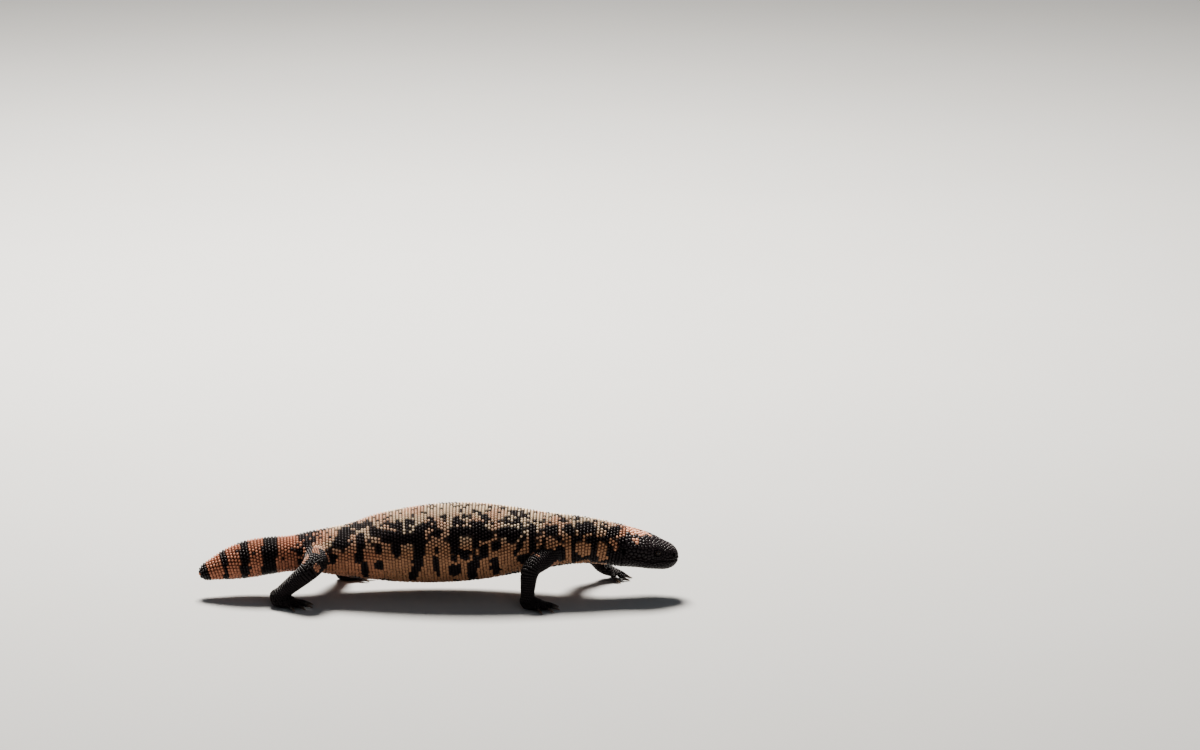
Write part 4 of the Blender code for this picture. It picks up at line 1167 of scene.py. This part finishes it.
# Fillers cover the roots of the limbs, the palms and the soles, wherever the rows leave a gap
rooted = tree_of([row[0] for row in coat.rows])
first_filler = len(coat.rows)
limb_share = on_limb(skin_points)
for i in np.random.default_rng(7).permutation(len(skin_points)):
    point = skin_points[i]
    pitch = FOOT_PITCH if limb_share[i] > FOOT_SHARE else LIMB_PITCH
    spacing = pitch * (LIMB_FILLING if limb_share[i] >= 0 else FILLING)
    if point[0] > TRUNK_END_X or rooted.find(point)[2] < spacing:
        continue
    height = pitch * FILLER_HEIGHT
    group, bake = "beads", body_bake(trunk.along_at_x(point[0]), body_turn(point))
    if limb_share[i] > FOOT_SHARE:
        group = min(LIMBS, key=lambda name: np.linalg.norm(point - np.array(LIMBS[name]["foot"])))
        bake = foot_bake(group, point)
        group += "_foot"
        if point[2] < BY_SOLE:
            height = SOLE_BEAD_HEIGHT
    coat.root(point, (1.0, 0.0, 0.0), (pitch * FULL_BEAD, pitch * FULL_BEAD, height), group, bake,
              spacing)
rooted = tree_of([row[0] for row in coat.rows])
for i, (spot, out, lie, sizes, group, bake) in enumerate(coat.rows):
    if i >= first_filler or group not in ("beads", "tiles"):
        gaps = [away for _, _, away in rooted.find_n(spot, 1 + FILLER_NEIGHBOURS)][1:]
        half = min(float(np.mean(gaps)) * FULL_GRAIN, WIDEST_FILLER * sizes[0])
        coat.rows[i] = (spot, out, lie, (half, half, sizes[2]), group, bake)


def bead_shape(name, rings, sides, power):
    """A closed template bead, from rings of reach and height, rounded by power, with its patch."""
    work = bmesh.new()
    turns = np.arange(sides) / sides * 2 * math.pi + math.pi / sides
    x = np.sign(np.cos(turns)) * np.abs(np.cos(turns)) ** (2 / power)
    y = np.sign(np.sin(turns)) * np.abs(np.sin(turns)) ** (2 / power)
    loops = [[work.verts.new((reach * a, reach * b, height)) for a, b in zip(x, y)]
             for reach, height in rings]
    work.faces.new(reversed(loops[0]))
    for lower, upper in zip(loops[:-1], loops[1:]):
        for j in range(sides):
            n = (j + 1) % sides
            work.faces.new((lower[j], lower[n], upper[n], upper[j]))
    top = work.verts.new((0, 0, 1))
    for j in range(sides):
        work.faces.new((loops[-1][j], loops[-1][(j + 1) % sides], top))
    shape = new_object(name, bpy.data.meshes.new(name))
    work.to_mesh(shape.data)
    work.free()
    shape.data.shade_smooth()
    corners = corners_of(shape.data)
    store(shape.data, "patch", "FLOAT_VECTOR", corners * (BAKE_PATCH / 2, BAKE_PATCH / 2, 0))
    # The crown share, from foot to top, sets how much painted shade a bead takes towards its foot
    store(shape.data, "crown", "FLOAT", fade_in(corners[:, 2], *CROWN_SHADE_FADE))
    return shape


# Each ring of a bead has its reach, as a share of the half size, and its height
DOME_RINGS = ((0.92, -0.30), (1.00, 0.08), (0.83, 0.55), (0.46, 0.88))
TILE_RINGS = ((1.00, -0.60), (1.00, 0.35), (0.84, 0.88))
CROWN_SHADE_FADE = (-0.20, 0.80)
dome = bead_shape("dome", DOME_RINGS, sides=10, power=2.0)
tile = bead_shape("tile", TILE_RINGS, sides=12, power=4.0)

coat_tree = bpy.data.node_groups.new("beads on the hide", "GeometryNodeTree")
TREE_INPUTS = (("Roots", "NodeSocketGeometry"), ("Bead", "NodeSocketObject"),
               ("Finish", "NodeSocketMaterial"), ("Uneven size", "NodeSocketFloat"),
               ("Uneven turn", "NodeSocketFloat"), ("Seed", "NodeSocketInt"))
sockets = {name: coat_tree.interface.new_socket(name, in_out="INPUT", socket_type=kind).identifier
           for name, kind in TREE_INPUTS}
coat_tree.interface.new_socket("Coat", in_out="OUTPUT", socket_type="NodeSocketGeometry")


def grow_coat(graph):
    """The tree: each root gets a bead, turned to the way out and along, sized and painted."""
    given = graph.add("NodeGroupInput").outputs
    kept = {}
    for name in ("way_out", "way_along", "half_sizes", "bake_place", "patch"):
        node = graph.add("GeometryNodeInputNamedAttribute", {"data_type": "FLOAT_VECTOR"}, Name=name)
        kept[name] = node.outputs["Attribute"]
    least = graph.add("ShaderNodeMath", {"operation": "SUBTRACT"}, 1.0, given["Uneven size"])
    size = graph.add("FunctionNodeRandomValue", Min=least.outputs[0], Max=1.0, Seed=given["Seed"])
    back = graph.add("ShaderNodeMath", {"operation": "MULTIPLY"}, given["Uneven turn"], -1.0)
    angle = graph.add("FunctionNodeRandomValue", Min=back.outputs[0], Max=given["Uneven turn"],
                      Seed=given["Seed"])
    upright = graph.add("FunctionNodeAlignRotationToVector", {"axis": "Z"}, Vector=kept["way_out"])
    laid = graph.add("FunctionNodeAlignRotationToVector", {"axis": "X", "pivot_axis": "Z"},
                     Rotation=upright.outputs[0], Vector=kept["way_along"])
    turn = graph.add("FunctionNodeAxisAngleToRotation", Axis=(0, 0, 1), Angle=angle.outputs["Value"])
    turned = graph.add("FunctionNodeRotateRotation", {"rotation_space": "LOCAL"},
                       Rotation=laid.outputs[0], Rotate_By=turn.outputs[0])
    scale = graph.add("ShaderNodeVectorMath", {"operation": "SCALE"}, kept["half_sizes"],
                      Scale=size.outputs["Value"])
    bead = graph.add("GeometryNodeObjectInfo", Object=given["Bead"])
    placed = graph.add("GeometryNodeInstanceOnPoints", Points=given["Roots"],
                       Instance=bead.outputs["Geometry"], Rotation=turned.outputs[0],
                       Scale=scale.outputs["Vector"])
    solid = graph.add("GeometryNodeRealizeInstances", Geometry=placed.outputs["Instances"])
    flat = graph.add("ShaderNodeVectorMath", {"operation": "ADD"}, kept["bake_place"], kept["patch"])
    mapped = graph.add("GeometryNodeStoreNamedAttribute", {"data_type": "FLOAT2", "domain": "CORNER"},
                       Geometry=solid.outputs["Geometry"], Name="OFBake", Value=flat.outputs["Vector"])
    done = graph.add("GeometryNodeSetMaterial", Geometry=mapped.outputs["Geometry"],
                     Material=given["Finish"])
    graph.add("NodeGroupOutput", Coat=done.outputs["Geometry"])


grow_coat(Graph(coat_tree))
bead_finish = hide_material("bony_beads", shade=1.0, roughness=0.40, grain_size=0.0005,
                            grain_depth=0.00006)
tile_finish = hide_material("flat_tiles", shade=0.96, roughness=0.50, grain_size=0.0006,
                            grain_depth=0.00006)
ROOT_FIELDS = ("way_out", "way_along", "half_sizes", "bake_place")
BEAD_FOOT_SHADE = 0.28
UNEVEN_SIZE, BEAD_TURN, TILE_TURN = 0.10, 0.25, 0.02


def grow(name, rows, colours, shape, finish, seed, turn):
    """One piece of coat: a bead of the given shape at each root, as a plain mesh."""
    piece = new_object(name, mesh_of(name, [row[0] for row in rows], []))
    columns = ([row[1] for row in rows], [row[2] for row in rows], [row[3] for row in rows],
               [(*row[5], 0.0) for row in rows])
    for field, values in zip(ROOT_FIELDS, columns):
        store(piece.data, field, "FLOAT_VECTOR", values)
    paint(piece.data, colours)
    modifier = piece.modifiers.new("coat", "NODES")
    modifier.node_group = coat_tree
    values = {"Bead": shape, "Finish": finish, "Uneven size": UNEVEN_SIZE, "Uneven turn": turn,
              "Seed": seed}
    for label, value in values.items():
        modifier[sockets[label]] = value
    settled(piece)
    corners = corners_of(piece.data)
    corners[:, 2] = np.maximum(corners[:, 2], 0)
    move_corners(piece.data, corners)
    # Each bead is painted darker towards its foot, as painted shade where the beads meet
    shading = BEAD_FOOT_SHADE + (1 - BEAD_FOOT_SHADE) * taken(piece.data, "crown")
    paint(piece.data, taken(piece.data, "marking")[:, :3] * shading)
    for field in (*ROOT_FIELDS, "patch"):
        piece.data.attributes.remove(piece.data.attributes[field])
    piece.data.shade_smooth()
    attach(piece, "root")
    return piece


# The pieces of the coat on the body, from the tail on, each with the x where it ends
ZONES = (("tail", -0.106), ("hip", -0.055), ("loin", -0.012), ("rib", 0.030), ("chest", 0.072),
         ("shoulder", 0.112), ("neck", 9.0))
PALE_SPREAD = 0.22
spots = np.array([row[0] for row in coat.rows])
chances = np.random.default_rng(41).random(len(spots))
shades = 1 + PALE_SPREAD * (np.random.default_rng(43).random(len(spots)) - 0.5)
bead_colours = marking(spots, chances) * shades[:, None]
groups = {}
for i, row in enumerate(coat.rows):
    zone = next(name for name, end in ZONES if row[0][0] < end)
    name = f"{zone}_{row[4]}" if row[4] in ("beads", "tiles") else f"{row[4]}_beads"
    groups.setdefault(name, []).append(i)
for seed, (name, members) in enumerate(groups.items()):
    rows, colours = [coat.rows[i] for i in members], bead_colours[members]
    if name.endswith("tiles"):
        grow(name, rows, colours, tile, tile_finish, seed, TILE_TURN)
    else:
        grow(name, rows, colours, dome, bead_finish, seed, BEAD_TURN)


# The head's plates
# Large bony plates, each a low cushion with narrow grooves between, cover the crown, temples and
# jaws. A row of lip plates runs along either side of the mouth, and small ones ring eye and nostril.
PLATE_CROWN = 0.0031
SNOUT_LESS, SNOUT_AT = 0.0006, (0.176, 0.194)
UNDER_LESS, UNDER_FROM, UNDER_FADE = 0.0003, 0.034, 0.006
EYE_LESS, EYE_LESS_REACH = 0.0011, 0.0068
LIP_STEP, LIP_OFFSET, LIP_AHEAD = 0.0027, 0.0013, 0.0004
EYE_RINGS, EYE_RIM, EYE_RING_STAND = ((0.00385, 14), (0.00555, 15)), 0.0032, 0.0012
NOSTRIL_RING, NOSTRIL_RIM, NOSTRIL_COUNT = 0.0021, 0.0011, 6
EAR_RING, EAR_RIM, EAR_COUNT = 1.95, 1.15, 11
EYE_CLEAR, HOLE_CLEAR = 0.0050, 0.0018
PLATE_SPACING, PLATE_CELL = 0.83, 0.0032
RELAX_ROUNDS = 6
GROOVE = 0.00011
PLATE_RISE = 0.20
PLATE_FIELD, NEIGHBOUR_REACH, LEAST_LEVEL = 0.9, 2.6, 0.25
CORNER_ROUNDS, CORNER_CUT = 2, 0.28
# Each ring of a plate has its reach, its height and its shade, painted darker towards the grooves
# between the plates
PLATE_RINGS = ((1.0, -0.55, 0.30), (1.0, 0.10, 0.42), (0.91, 0.62, 0.85), (0.64, 0.92, 1.0))


class Plates:
    """Seeds of the head's plates. A blank seed bounds its neighbours and grows no plate."""

    def __init__(self):
        self.spots, self.outs, self.blank, self.fixed = [], [], [], []

    def seed(self, point, blank=False, fixed=True):
        spot, _, face, _ = hide.find_nearest(Vector(point))
        self.spots.append(np.array(spot))
        self.outs.append(face_normals[face])
        self.blank.append(blank)
        self.fixed.append(fixed)

    def tree(self):
        return tree_of(self.spots)


def plate_pitch(point):
    """The spacing of plates at a place on the head: finer at the snout, eyes and throat."""
    eye = min(np.linalg.norm(point - eye_axes(side)[0]) for side in (-1, 1))
    return (PLATE_CROWN - SNOUT_LESS * float(fade_in(point[0], *SNOUT_AT))
            - UNDER_LESS * float(fade_in(UNDER_FROM - point[2], 0.0, UNDER_FADE))
            - EYE_LESS * math.exp(-((eye / EYE_LESS_REACH) ** 2)))


def seed_ring(centre, level, up, count, reach, rim=None, stand=0.0, rim_stand=0.0):
    """Plates round an opening, each with a blank seed across its rim if the rim is given."""
    for turn in np.arange(count) / count * 2 * math.pi:
        way = level * math.cos(turn) + up * math.sin(turn)
        plates.seed(centre + way * reach + stand)
        if rim:
            plates.seed(centre + way * (2 * rim - reach) + rim_stand, blank=True)


plates = Plates()
steps = np.linalg.norm(np.diff(lips, axis=0), axis=1)
lip_along = np.concatenate([[0], np.cumsum(steps)])
lip_count = round(lip_along[-1] / LIP_STEP)
for along in (np.arange(lip_count) + 0.5) * lip_along[-1] / lip_count:
    place, ahead = (np.array([np.interp(along + d, lip_along, lips[:, i]) for i in range(3)])
                    for d in (0, LIP_AHEAD))
    _, _, face, _ = hide.find_nearest(Vector(place))
    upward = unit(np.cross(ahead - place, face_normals[face]))
    upward *= np.sign(upward[2])
    for offset in (LIP_OFFSET, -LIP_OFFSET):
        plates.seed(place + upward * offset)
for side, nostril, ear in zip((-1, 1), nostrils, ears):
    centre, out, level, up = eye_axes(side)
    (inner, inner_count), (outer, outer_count) = EYE_RINGS
    seed_ring(centre, level, up, inner_count, inner, EYE_RIM, out * EYE_RING_STAND,
              out * EYE_RADIUS)
    seed_ring(centre, level, up, outer_count, outer, stand=out * EYE_RING_STAND)
    _, _, face, _ = hide.find_nearest(Vector(nostril))
    level = unit(np.cross((0, 0, 1), face_normals[face]))
    up = np.cross(face_normals[face], level)
    seed_ring(nostril, level, up, NOSTRIL_COUNT, NOSTRIL_RING, NOSTRIL_RIM)
    seed_ring(ear, EAR_HALVES * (1, 0, 0), EAR_HALVES * (0, 0, 1), EAR_COUNT, EAR_RING, EAR_RIM)
for row in coat.rows:
    if row[0][0] > TRUNK_END_X - 2 * ROW_STEP:
        plates.seed(row[0], blank=True)

head_points = skin_points[skin_points[:, 0] > TRUNK_END_X]
crowd = Crowd(PLATE_CELL)
for spot in plates.spots:
    crowd.add(spot)
in_eye = np.minimum(*[np.linalg.norm(head_points - eye_axes(side)[0], axis=1) for side in (-1, 1)])
in_hole = np.min([np.linalg.norm(head_points - place, axis=1) for place in nostrils + ears], axis=0)
free_points = head_points[(in_eye > EYE_CLEAR) & (in_hole > HOLE_CLEAR)]
for point in free_points[np.random.default_rng(3).permutation(len(free_points))]:
    if not crowd.near(point, PLATE_SPACING * plate_pitch(point)):
        plates.seed(point, fixed=False)
        crowd.add(plates.spots[-1])
weights = np.array([1 / plate_pitch(point) ** 2 for point in head_points])
for _ in range(RELAX_ROUNDS):
    tree = plates.tree()
    owners = np.array([tree.find(point)[1] for point in head_points])
    totals = np.bincount(owners, weights, len(plates.spots))
    sums = np.stack([np.bincount(owners, weights * head_points[:, i], len(plates.spots))
                     for i in range(3)], axis=1)
    for i in np.nonzero(totals > 0)[0]:
        if not plates.fixed[i]:
            spot, _, face, _ = hide.find_nearest(Vector(sums[i] / totals[i]))
            plates.spots[i], plates.outs[i] = np.array(spot), face_normals[face]


def clipped(outline, way, limit):
    """The part of a flat outline that lies within a limit along a way."""
    kept = []
    for start, end in zip(outline, outline[1:] + outline[:1]):
        a, b = start @ way - limit, end @ way - limit
        if a <= 0:
            kept.append(start)
        if (a < 0 < b) or (b < 0 < a):
            kept.append(start + (end - start) * a / (a - b))
    return kept


def rounded(outline):
    """The outline with its corners cut back, round by round."""
    for _ in range(CORNER_ROUNDS):
        outline = [point for start, end in zip(outline, outline[1:] + outline[:1])
                   for point in (start + (end - start) * CORNER_CUT,
                                 end + (start - end) * CORNER_CUT)]
    return outline


def plate_points(i, tree):
    """The rings of one plate, from its buried edge to its top, and its middle."""
    centre, out = plates.spots[i], plates.outs[i]
    pitch = plate_pitch(centre)
    side = unit(np.cross(out, (0.0, 0.0, 1.0) if abs(out[2]) < 0.9 else (1.0, 0.0, 0.0)))
    up = np.cross(side, out)
    outline = [np.array(corner) * pitch * PLATE_FIELD
               for corner in ((-1, -1), (1, -1), (1, 1), (-1, 1))]
    for _, j, away in tree.find_range(Vector(centre), NEIGHBOUR_REACH * pitch):
        if j != i and away > 1e-6:
            offset = plates.spots[j] - centre
            flat = np.array((offset @ side, offset @ up))
            length = np.linalg.norm(flat)
            if length > LEAST_LEVEL * away:
                outline = clipped(outline, flat / length, length / 2 - GROOVE)
    if len(outline) < 3:
        return None
    outline = rounded(outline)
    middle = np.mean(outline, axis=0)
    size = np.mean([np.linalg.norm(point - middle) for point in outline])
    rise = 2 * size * PLATE_RISE
    rings = []
    for reach, height, _ in PLATE_RINGS:
        ring = []
        for point in outline:
            flat = middle + (point - middle) * reach
            spot, _, face, _ = hide.find_nearest(Vector(centre + side * flat[0] + up * flat[1]))
            ring.append(np.array(spot) + unit(face_normals[face] + out) * rise * height)
        rings.append(ring)
    top, _, _, _ = hide.find_nearest(Vector(centre + side * middle[0] + up * middle[1]))
    return rings, np.array(top) + out * rise


def build_plates(name, chosen, finish):
    """Joins the chosen plates into one mesh, with their colours and their places in the flat map."""
    tree = plates.tree()
    points, faces, owner, patches, places, painted_edge_shade = [], [], [], [], [], []
    for i in chosen:
        made = plate_points(i, tree)
        if made is None:
            continue
        rings, top = made
        first, count = len(points), len(rings[0])
        for ring in rings:
            points.extend(ring)
        points.append(top)
        faces.append(tuple(range(first + count - 1, first - 1, -1)))
        for k in range(len(rings) - 1):
            for j in range(count):
                a, b = first + k * count + j, first + k * count + (j + 1) % count
                faces.append((a, b, b + count, a + count))
        last = first + (len(rings) - 1) * count
        faces.extend((last + j, last + (j + 1) % count, last + count) for j in range(count))
        turns = np.tile(np.arange(count) / count * 2 * math.pi, len(rings))
        patches.extend(np.stack([np.cos(turns), np.sin(turns)], axis=1) * BAKE_PATCH / 2)
        patches.append((0, 0))
        owner.extend([len(places)] * (len(points) - first))
        painted_edge_shade.extend(np.repeat([shade for _, _, shade in PLATE_RINGS], count))
        painted_edge_shade.append(1.0)
        place = body_bake(trunk.along_at_x(plates.spots[i][0]), body_turn(plates.spots[i]))
        places.append((*place, *plates.spots[i]))
    piece = new_object(name, mesh_of(name, points, faces))
    places = np.array(places)
    chances = np.random.default_rng(17).random(len(places))
    shades = 1 + PALE_SPREAD * (np.random.default_rng(19).random(len(places)) - 0.5)
    colours = marking(places[:, 2:], chances) * shades[:, None]
    # Each plate is painted darker towards its edge, as painted shade in the grooves between the plates
    paint(piece.data, colours[owner] * np.array(painted_edge_shade)[:, None])
    flat = places[owner, :2] + np.array(patches)
    layer = piece.data.uv_layers.new(name="OFBake")
    corners = np.array([loop.vertex_index for loop in piece.data.loops])
    layer.data.foreach_set("uv", flat[corners].astype(np.float32).ravel())
    piece.data.materials.append(finish)
    piece.data.shade_smooth()
    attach(piece, "root")


plate_finish = hide_material("head_plates", shade=1.0, roughness=0.36, grain_size=0.0005,
                             grain_depth=0.00008)
grown = [i for i in range(len(plates.spots)) if not plates.blank[i]]
build_plates("head_plates", grown, plate_finish)


# The eyelids and eyes
# Small, dark eyes sit under bony brows. The ball is wet and nearly black, with a brown iris round a
# round pupil, and thick lids of fine granules close to a soft rim over its edge.
IRIS_REACH, PUPIL_REACH = 0.60, 0.30
EYE_COLOURS = ((0.0, (0.004, 0.003, 0.003)), (PUPIL_REACH, (0.004, 0.003, 0.003)),
               (PUPIL_REACH + 0.05, (0.042, 0.019, 0.008)), (IRIS_REACH - 0.1, (0.026, 0.012, 0.006)),
               (IRIS_REACH, (0.016, 0.009, 0.007)), (1.0, (0.012, 0.008, 0.007)))
EYE_SEGMENTS, EYE_ROWS = 40, 24
FLECK_SCALE, FLECK_REACH = 1800.0, 0.07
LID_RIM, RIM_SEAT = 0.00030, 0.6
LID_TURNS, RIM_SIDES = 48, 8
RIM_SHADE = 1.4


def tube_along(path, radius, sides):
    """Corners and faces of a closed loop of tube along a closed path."""
    ahead = unit(np.roll(path, -1, axis=0) - np.roll(path, 1, axis=0))
    middle = path.mean(axis=0)
    out = unit(path - middle)
    out = unit(out - (out * ahead).sum(axis=1, keepdims=True) * ahead)
    across = np.cross(ahead, out)
    turns = np.arange(sides) / sides * 2 * math.pi
    points = [spot + (o * math.cos(turn) + a * math.sin(turn)) * radius
              for spot, o, a in zip(path, out, across) for turn in turns]
    faces = []
    for k in range(len(path)):
        for j in range(sides):
            a, b = k * sides + j, k * sides + (j + 1) % sides
            n = ((k + 1) % len(path) - k) * sides
            faces.append((a, a + n, b + n, b))
    return points, faces


eye_material, graph, shader = new_material("wet_eye")
reach = graph.add("ShaderNodeAttribute", {"attribute_name": "reach"}).outputs["Fac"]
place = graph.add("ShaderNodeTexCoord").outputs["Object"]
flecks = graph.add("ShaderNodeTexNoise", Vector=place, Scale=FLECK_SCALE, Detail=3.0)
fleck = graph.add("ShaderNodeMapRange", Value=flecks.outputs["Fac"], To_Min=-FLECK_REACH,
                  To_Max=FLECK_REACH)
total = graph.add("ShaderNodeMath", {"operation": "ADD"}, reach, fleck.outputs["Result"])
rings = graph.add("ShaderNodeValToRGB", Fac=total.outputs[0])
ramp = rings.color_ramp.elements
for stop, _ in EYE_COLOURS[1:-1]:
    ramp.new(stop)
for element, (_, colour) in zip(ramp, EYE_COLOURS):
    element.color = (*colour, 1.0)
graph.fill(shader, Base_Color=rings.outputs["Color"], Roughness=0.22, Specular_IOR_Level=0.20,
           Coat_Weight=0.45, Coat_Roughness=0.03)

lid_points, lid_faces = [], []
for side, side_name in ((-1, "right"), (1, "left")):
    centre, out, level, up = eye_axes(side)
    work = bmesh.new()
    bmesh.ops.create_uvsphere(work, u_segments=EYE_SEGMENTS, v_segments=EYE_ROWS, radius=EYE_RADIUS)
    turned = Matrix(np.stack([level, up, out], axis=1).tolist())
    if turned.determinant() < 0:
        turned = Matrix(np.stack([-level, up, out], axis=1).tolist())
    work.verts.ensure_lookup_table()
    reaches = [math.acos(max(-1, min(1, corner.co.z / EYE_RADIUS))) / math.pi * 2
               for corner in work.verts]
    for corner in work.verts:
        corner.co = turned @ corner.co + Vector(centre)
    eye = new_object(f"{side_name}_eyeball", bpy.data.meshes.new(f"{side_name}_eyeball"))
    work.to_mesh(eye.data)
    work.free()
    store(eye.data, "reach", "FLOAT", reaches)
    eye.data.materials.append(eye_material)
    eye.data.shade_smooth()
    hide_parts(f"{side_name}_eye")
    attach(eye, "root")
    turns = np.arange(LID_TURNS) / LID_TURNS * 2 * math.pi
    a = EYE_RADIUS * LID_OPENING[0] * np.cos(turns)
    b = EYE_RADIUS * LID_OPENING[1] * np.sin(turns)
    depth = np.sqrt(np.maximum((EYE_RADIUS + LID_RIM * RIM_SEAT) ** 2 - a**2 - b**2, 0))
    path = centre + np.outer(a, level) + np.outer(b, up) + np.outer(depth, out)
    points, faces = tube_along(path, LID_RIM, RIM_SIDES)
    if side < 0:
        faces = [tuple(reversed(face)) for face in faces]
    first = len(lid_points)
    lid_points.extend(points)
    lid_faces.extend(tuple(first + i for i in face) for face in faces)
lids = new_object("lid_rims", mesh_of("lid_rims", lid_points, lid_faces))
paint(lids.data, np.full((len(lid_points), 3), BLACK * RIM_SHADE))
lids.data.materials.append(hide_material("lid_edge", shade=1.0, roughness=0.42, grain_size=0.0003,
                                         grain_depth=0.00004))
work = bmesh.new()
work.from_mesh(lids.data)
bmesh.ops.recalc_face_normals(work, faces=work.faces)
work.to_mesh(lids.data)
work.free()
lids.data.shade_smooth()
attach(lids, "root")


# The claws
# A short, curved claw of dark horn grows from the end of each toe. It is round at the root, bends
# down to the ground and narrows to a point worn paler than the rest.
CLAW_LENGTH, CLAW_REACH = 0.0066, 0.88
CLAW_ROOT, CLAW_POINT = (0.0010, 0.0013), 0.00012
CLAW_SUNK = 0.0009
CLAW_CLEARANCE = 0.0004
CLAW_RINGS, CLAW_SIDES = 18, 14
CLAW_NARROWING, CLAW_WEAR = 1.5, 2
HORN_STREAKS, STREAK_SHARE = 1500.0, 0.35
HORN_COLOURS = ((0.15, (0.022, 0.015, 0.012, 1.0)), (1.15, (0.16, 0.105, 0.070, 1.0)))

claw_material, graph, shader = new_material("claw_horn")
worn = graph.add("ShaderNodeAttribute", {"attribute_name": "worn"}).outputs["Fac"]
place = graph.add("ShaderNodeTexCoord").outputs["Object"]
streaks = graph.add("ShaderNodeTexNoise", Vector=place, Scale=HORN_STREAKS, Detail=4.0)
wear = graph.add("ShaderNodeMath", {"operation": "MULTIPLY_ADD"}, streaks.outputs["Fac"],
                 STREAK_SHARE, worn)
horn = graph.add("ShaderNodeValToRGB", Fac=wear.outputs[0])
for element, (stop, colour) in zip(horn.color_ramp.elements, HORN_COLOURS):
    element.position = stop
    element.color = colour
bump = graph.add("ShaderNodeBump", Height=streaks.outputs["Fac"], Strength=0.4, Distance=0.00005)
graph.fill(shader, Base_Color=horn.outputs["Color"], Roughness=0.32, Normal=bump.outputs["Normal"])

for limb_name, limb, sole, digits in feet():
    horns, worn_values = Shell(), []
    for turn, reach in digits:
        toe = digit_run(limb, sole, turn, reach)
        way = unit(toe.centres[-1] - toe.centres[-2])
        start = toe.centres[-1] - way * CLAW_SUNK
        level = unit(np.array((way[0], way[1], 0)))
        tip = toe.centres[-1] + level * CLAW_LENGTH * CLAW_REACH
        tip[2] = CLAW_POINT + CLAW_CLEARANCE
        pull = toe.centres[-1] + way * CLAW_LENGTH / 2
        s = np.linspace(0, 1, CLAW_RINGS)[:, None]
        centres = (1 - s) ** 2 * start + 2 * s * (1 - s) * pull + s**2 * tip
        halves = np.array(CLAW_ROOT) * (1 - s**CLAW_NARROWING) + CLAW_POINT
        centres[:, 2] = np.maximum(centres[:, 2], halves[:, 1] + CLAW_CLEARANCE)
        claw = Run(centres, halves, toe.sides[-1])
        turns = np.arange(CLAW_SIDES) / CLAW_SIDES
        horns.add([claw.ring(along, turns) for along in claw.along])
        worn_values.extend(np.repeat(s[:, 0] ** CLAW_WEAR, CLAW_SIDES))
    hand = limb_name.replace("fore", "hand").replace("hind", "foot")
    claws = new_object(f"{hand}_claws", mesh_of(f"{hand}_claws", horns.points, horns.faces))
    store(claws.data, "worn", "FLOAT", worn_values)
    claws.data.materials.append(claw_material)
    claws.data.shade_smooth()
    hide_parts(*[f"{hand}_claw_{i + 1}" for i in range(len(digits))])
    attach(claws, "root")


# The stage
# A plain, pale floor, a large soft light high behind the animal and a weak one in front, as in open
# sun, and a camera far off at the right side, looking a little down.
FLOOR_HALF = 12.0
LIT = Vector((0, 0, 0.03))
AIM = Vector((0.1343, 0.0, 0.1881))
CAMERA_DISTANCE, CAMERA_LENS = 5.5, 199.7

FLOOR_CORNERS = [(x * FLOOR_HALF, y * FLOOR_HALF, 0) for x, y in ((-1, -1), (1, -1), (1, 1), (-1, 1))]
floor = new_object("floor", mesh_of("floor", FLOOR_CORNERS, [(0, 1, 2, 3)]))
floor_material, graph, shader = new_material("pale_floor")
place = graph.add("ShaderNodeTexCoord").outputs["Object"]
cloud = graph.add("ShaderNodeTexNoise", Vector=place, Scale=3.0, Detail=3.0)
tone = graph.add("ShaderNodeMapRange", Value=cloud.outputs["Fac"], To_Min=0.40, To_Max=0.43)
graph.fill(shader, Base_Color=tone.outputs["Result"], Roughness=0.85)
floor.data.materials.append(floor_material)

world = bpy.data.worlds.new("soft room")
world.use_nodes = True
sky = world.node_tree.nodes["Background"].inputs
sky["Color"].default_value = (0.80, 0.84, 0.90, 1.0)
sky["Strength"].default_value = 0.16
bpy.context.scene.world = world
bpy.context.scene.view_settings.look = "AgX - Medium High Contrast"

# Each light has its place, its width, its power and its colour
LIGHTS = (
    ("high behind", (-0.25, 1.45, 2.00), 0.75, 215.0, (1.0, 0.955, 0.88)),
    ("front fill", (0.8, -2.4, 1.3), 1.3, 6.0, (0.92, 0.95, 1.0)),
)
for light_name, spot, size, power, colour in LIGHTS:
    lamp = bpy.data.lights.new(light_name, "AREA")
    lamp.size = size
    lamp.energy = power
    lamp.color = colour
    holder = new_object(light_name, lamp)
    holder.location = spot
    holder.rotation_euler = (LIT - Vector(spot)).to_track_quat("-Z", "Y").to_euler()
    holder.visible_camera = False

view = bpy.data.cameras.new("camera")
view.lens = CAMERA_LENS
view.clip_end = 100.0
camera = new_object("camera", view)
toward = Vector((0, -math.cos(SEEN_FROM), math.sin(SEEN_FROM)))
camera.location = AIM + toward * CAMERA_DISTANCE
camera.rotation_euler = (-toward).to_track_quat("-Z", "Y").to_euler()
bpy.context.scene.camera = camera

for shape in (dome, tile):
    bpy.data.objects.remove(shape)
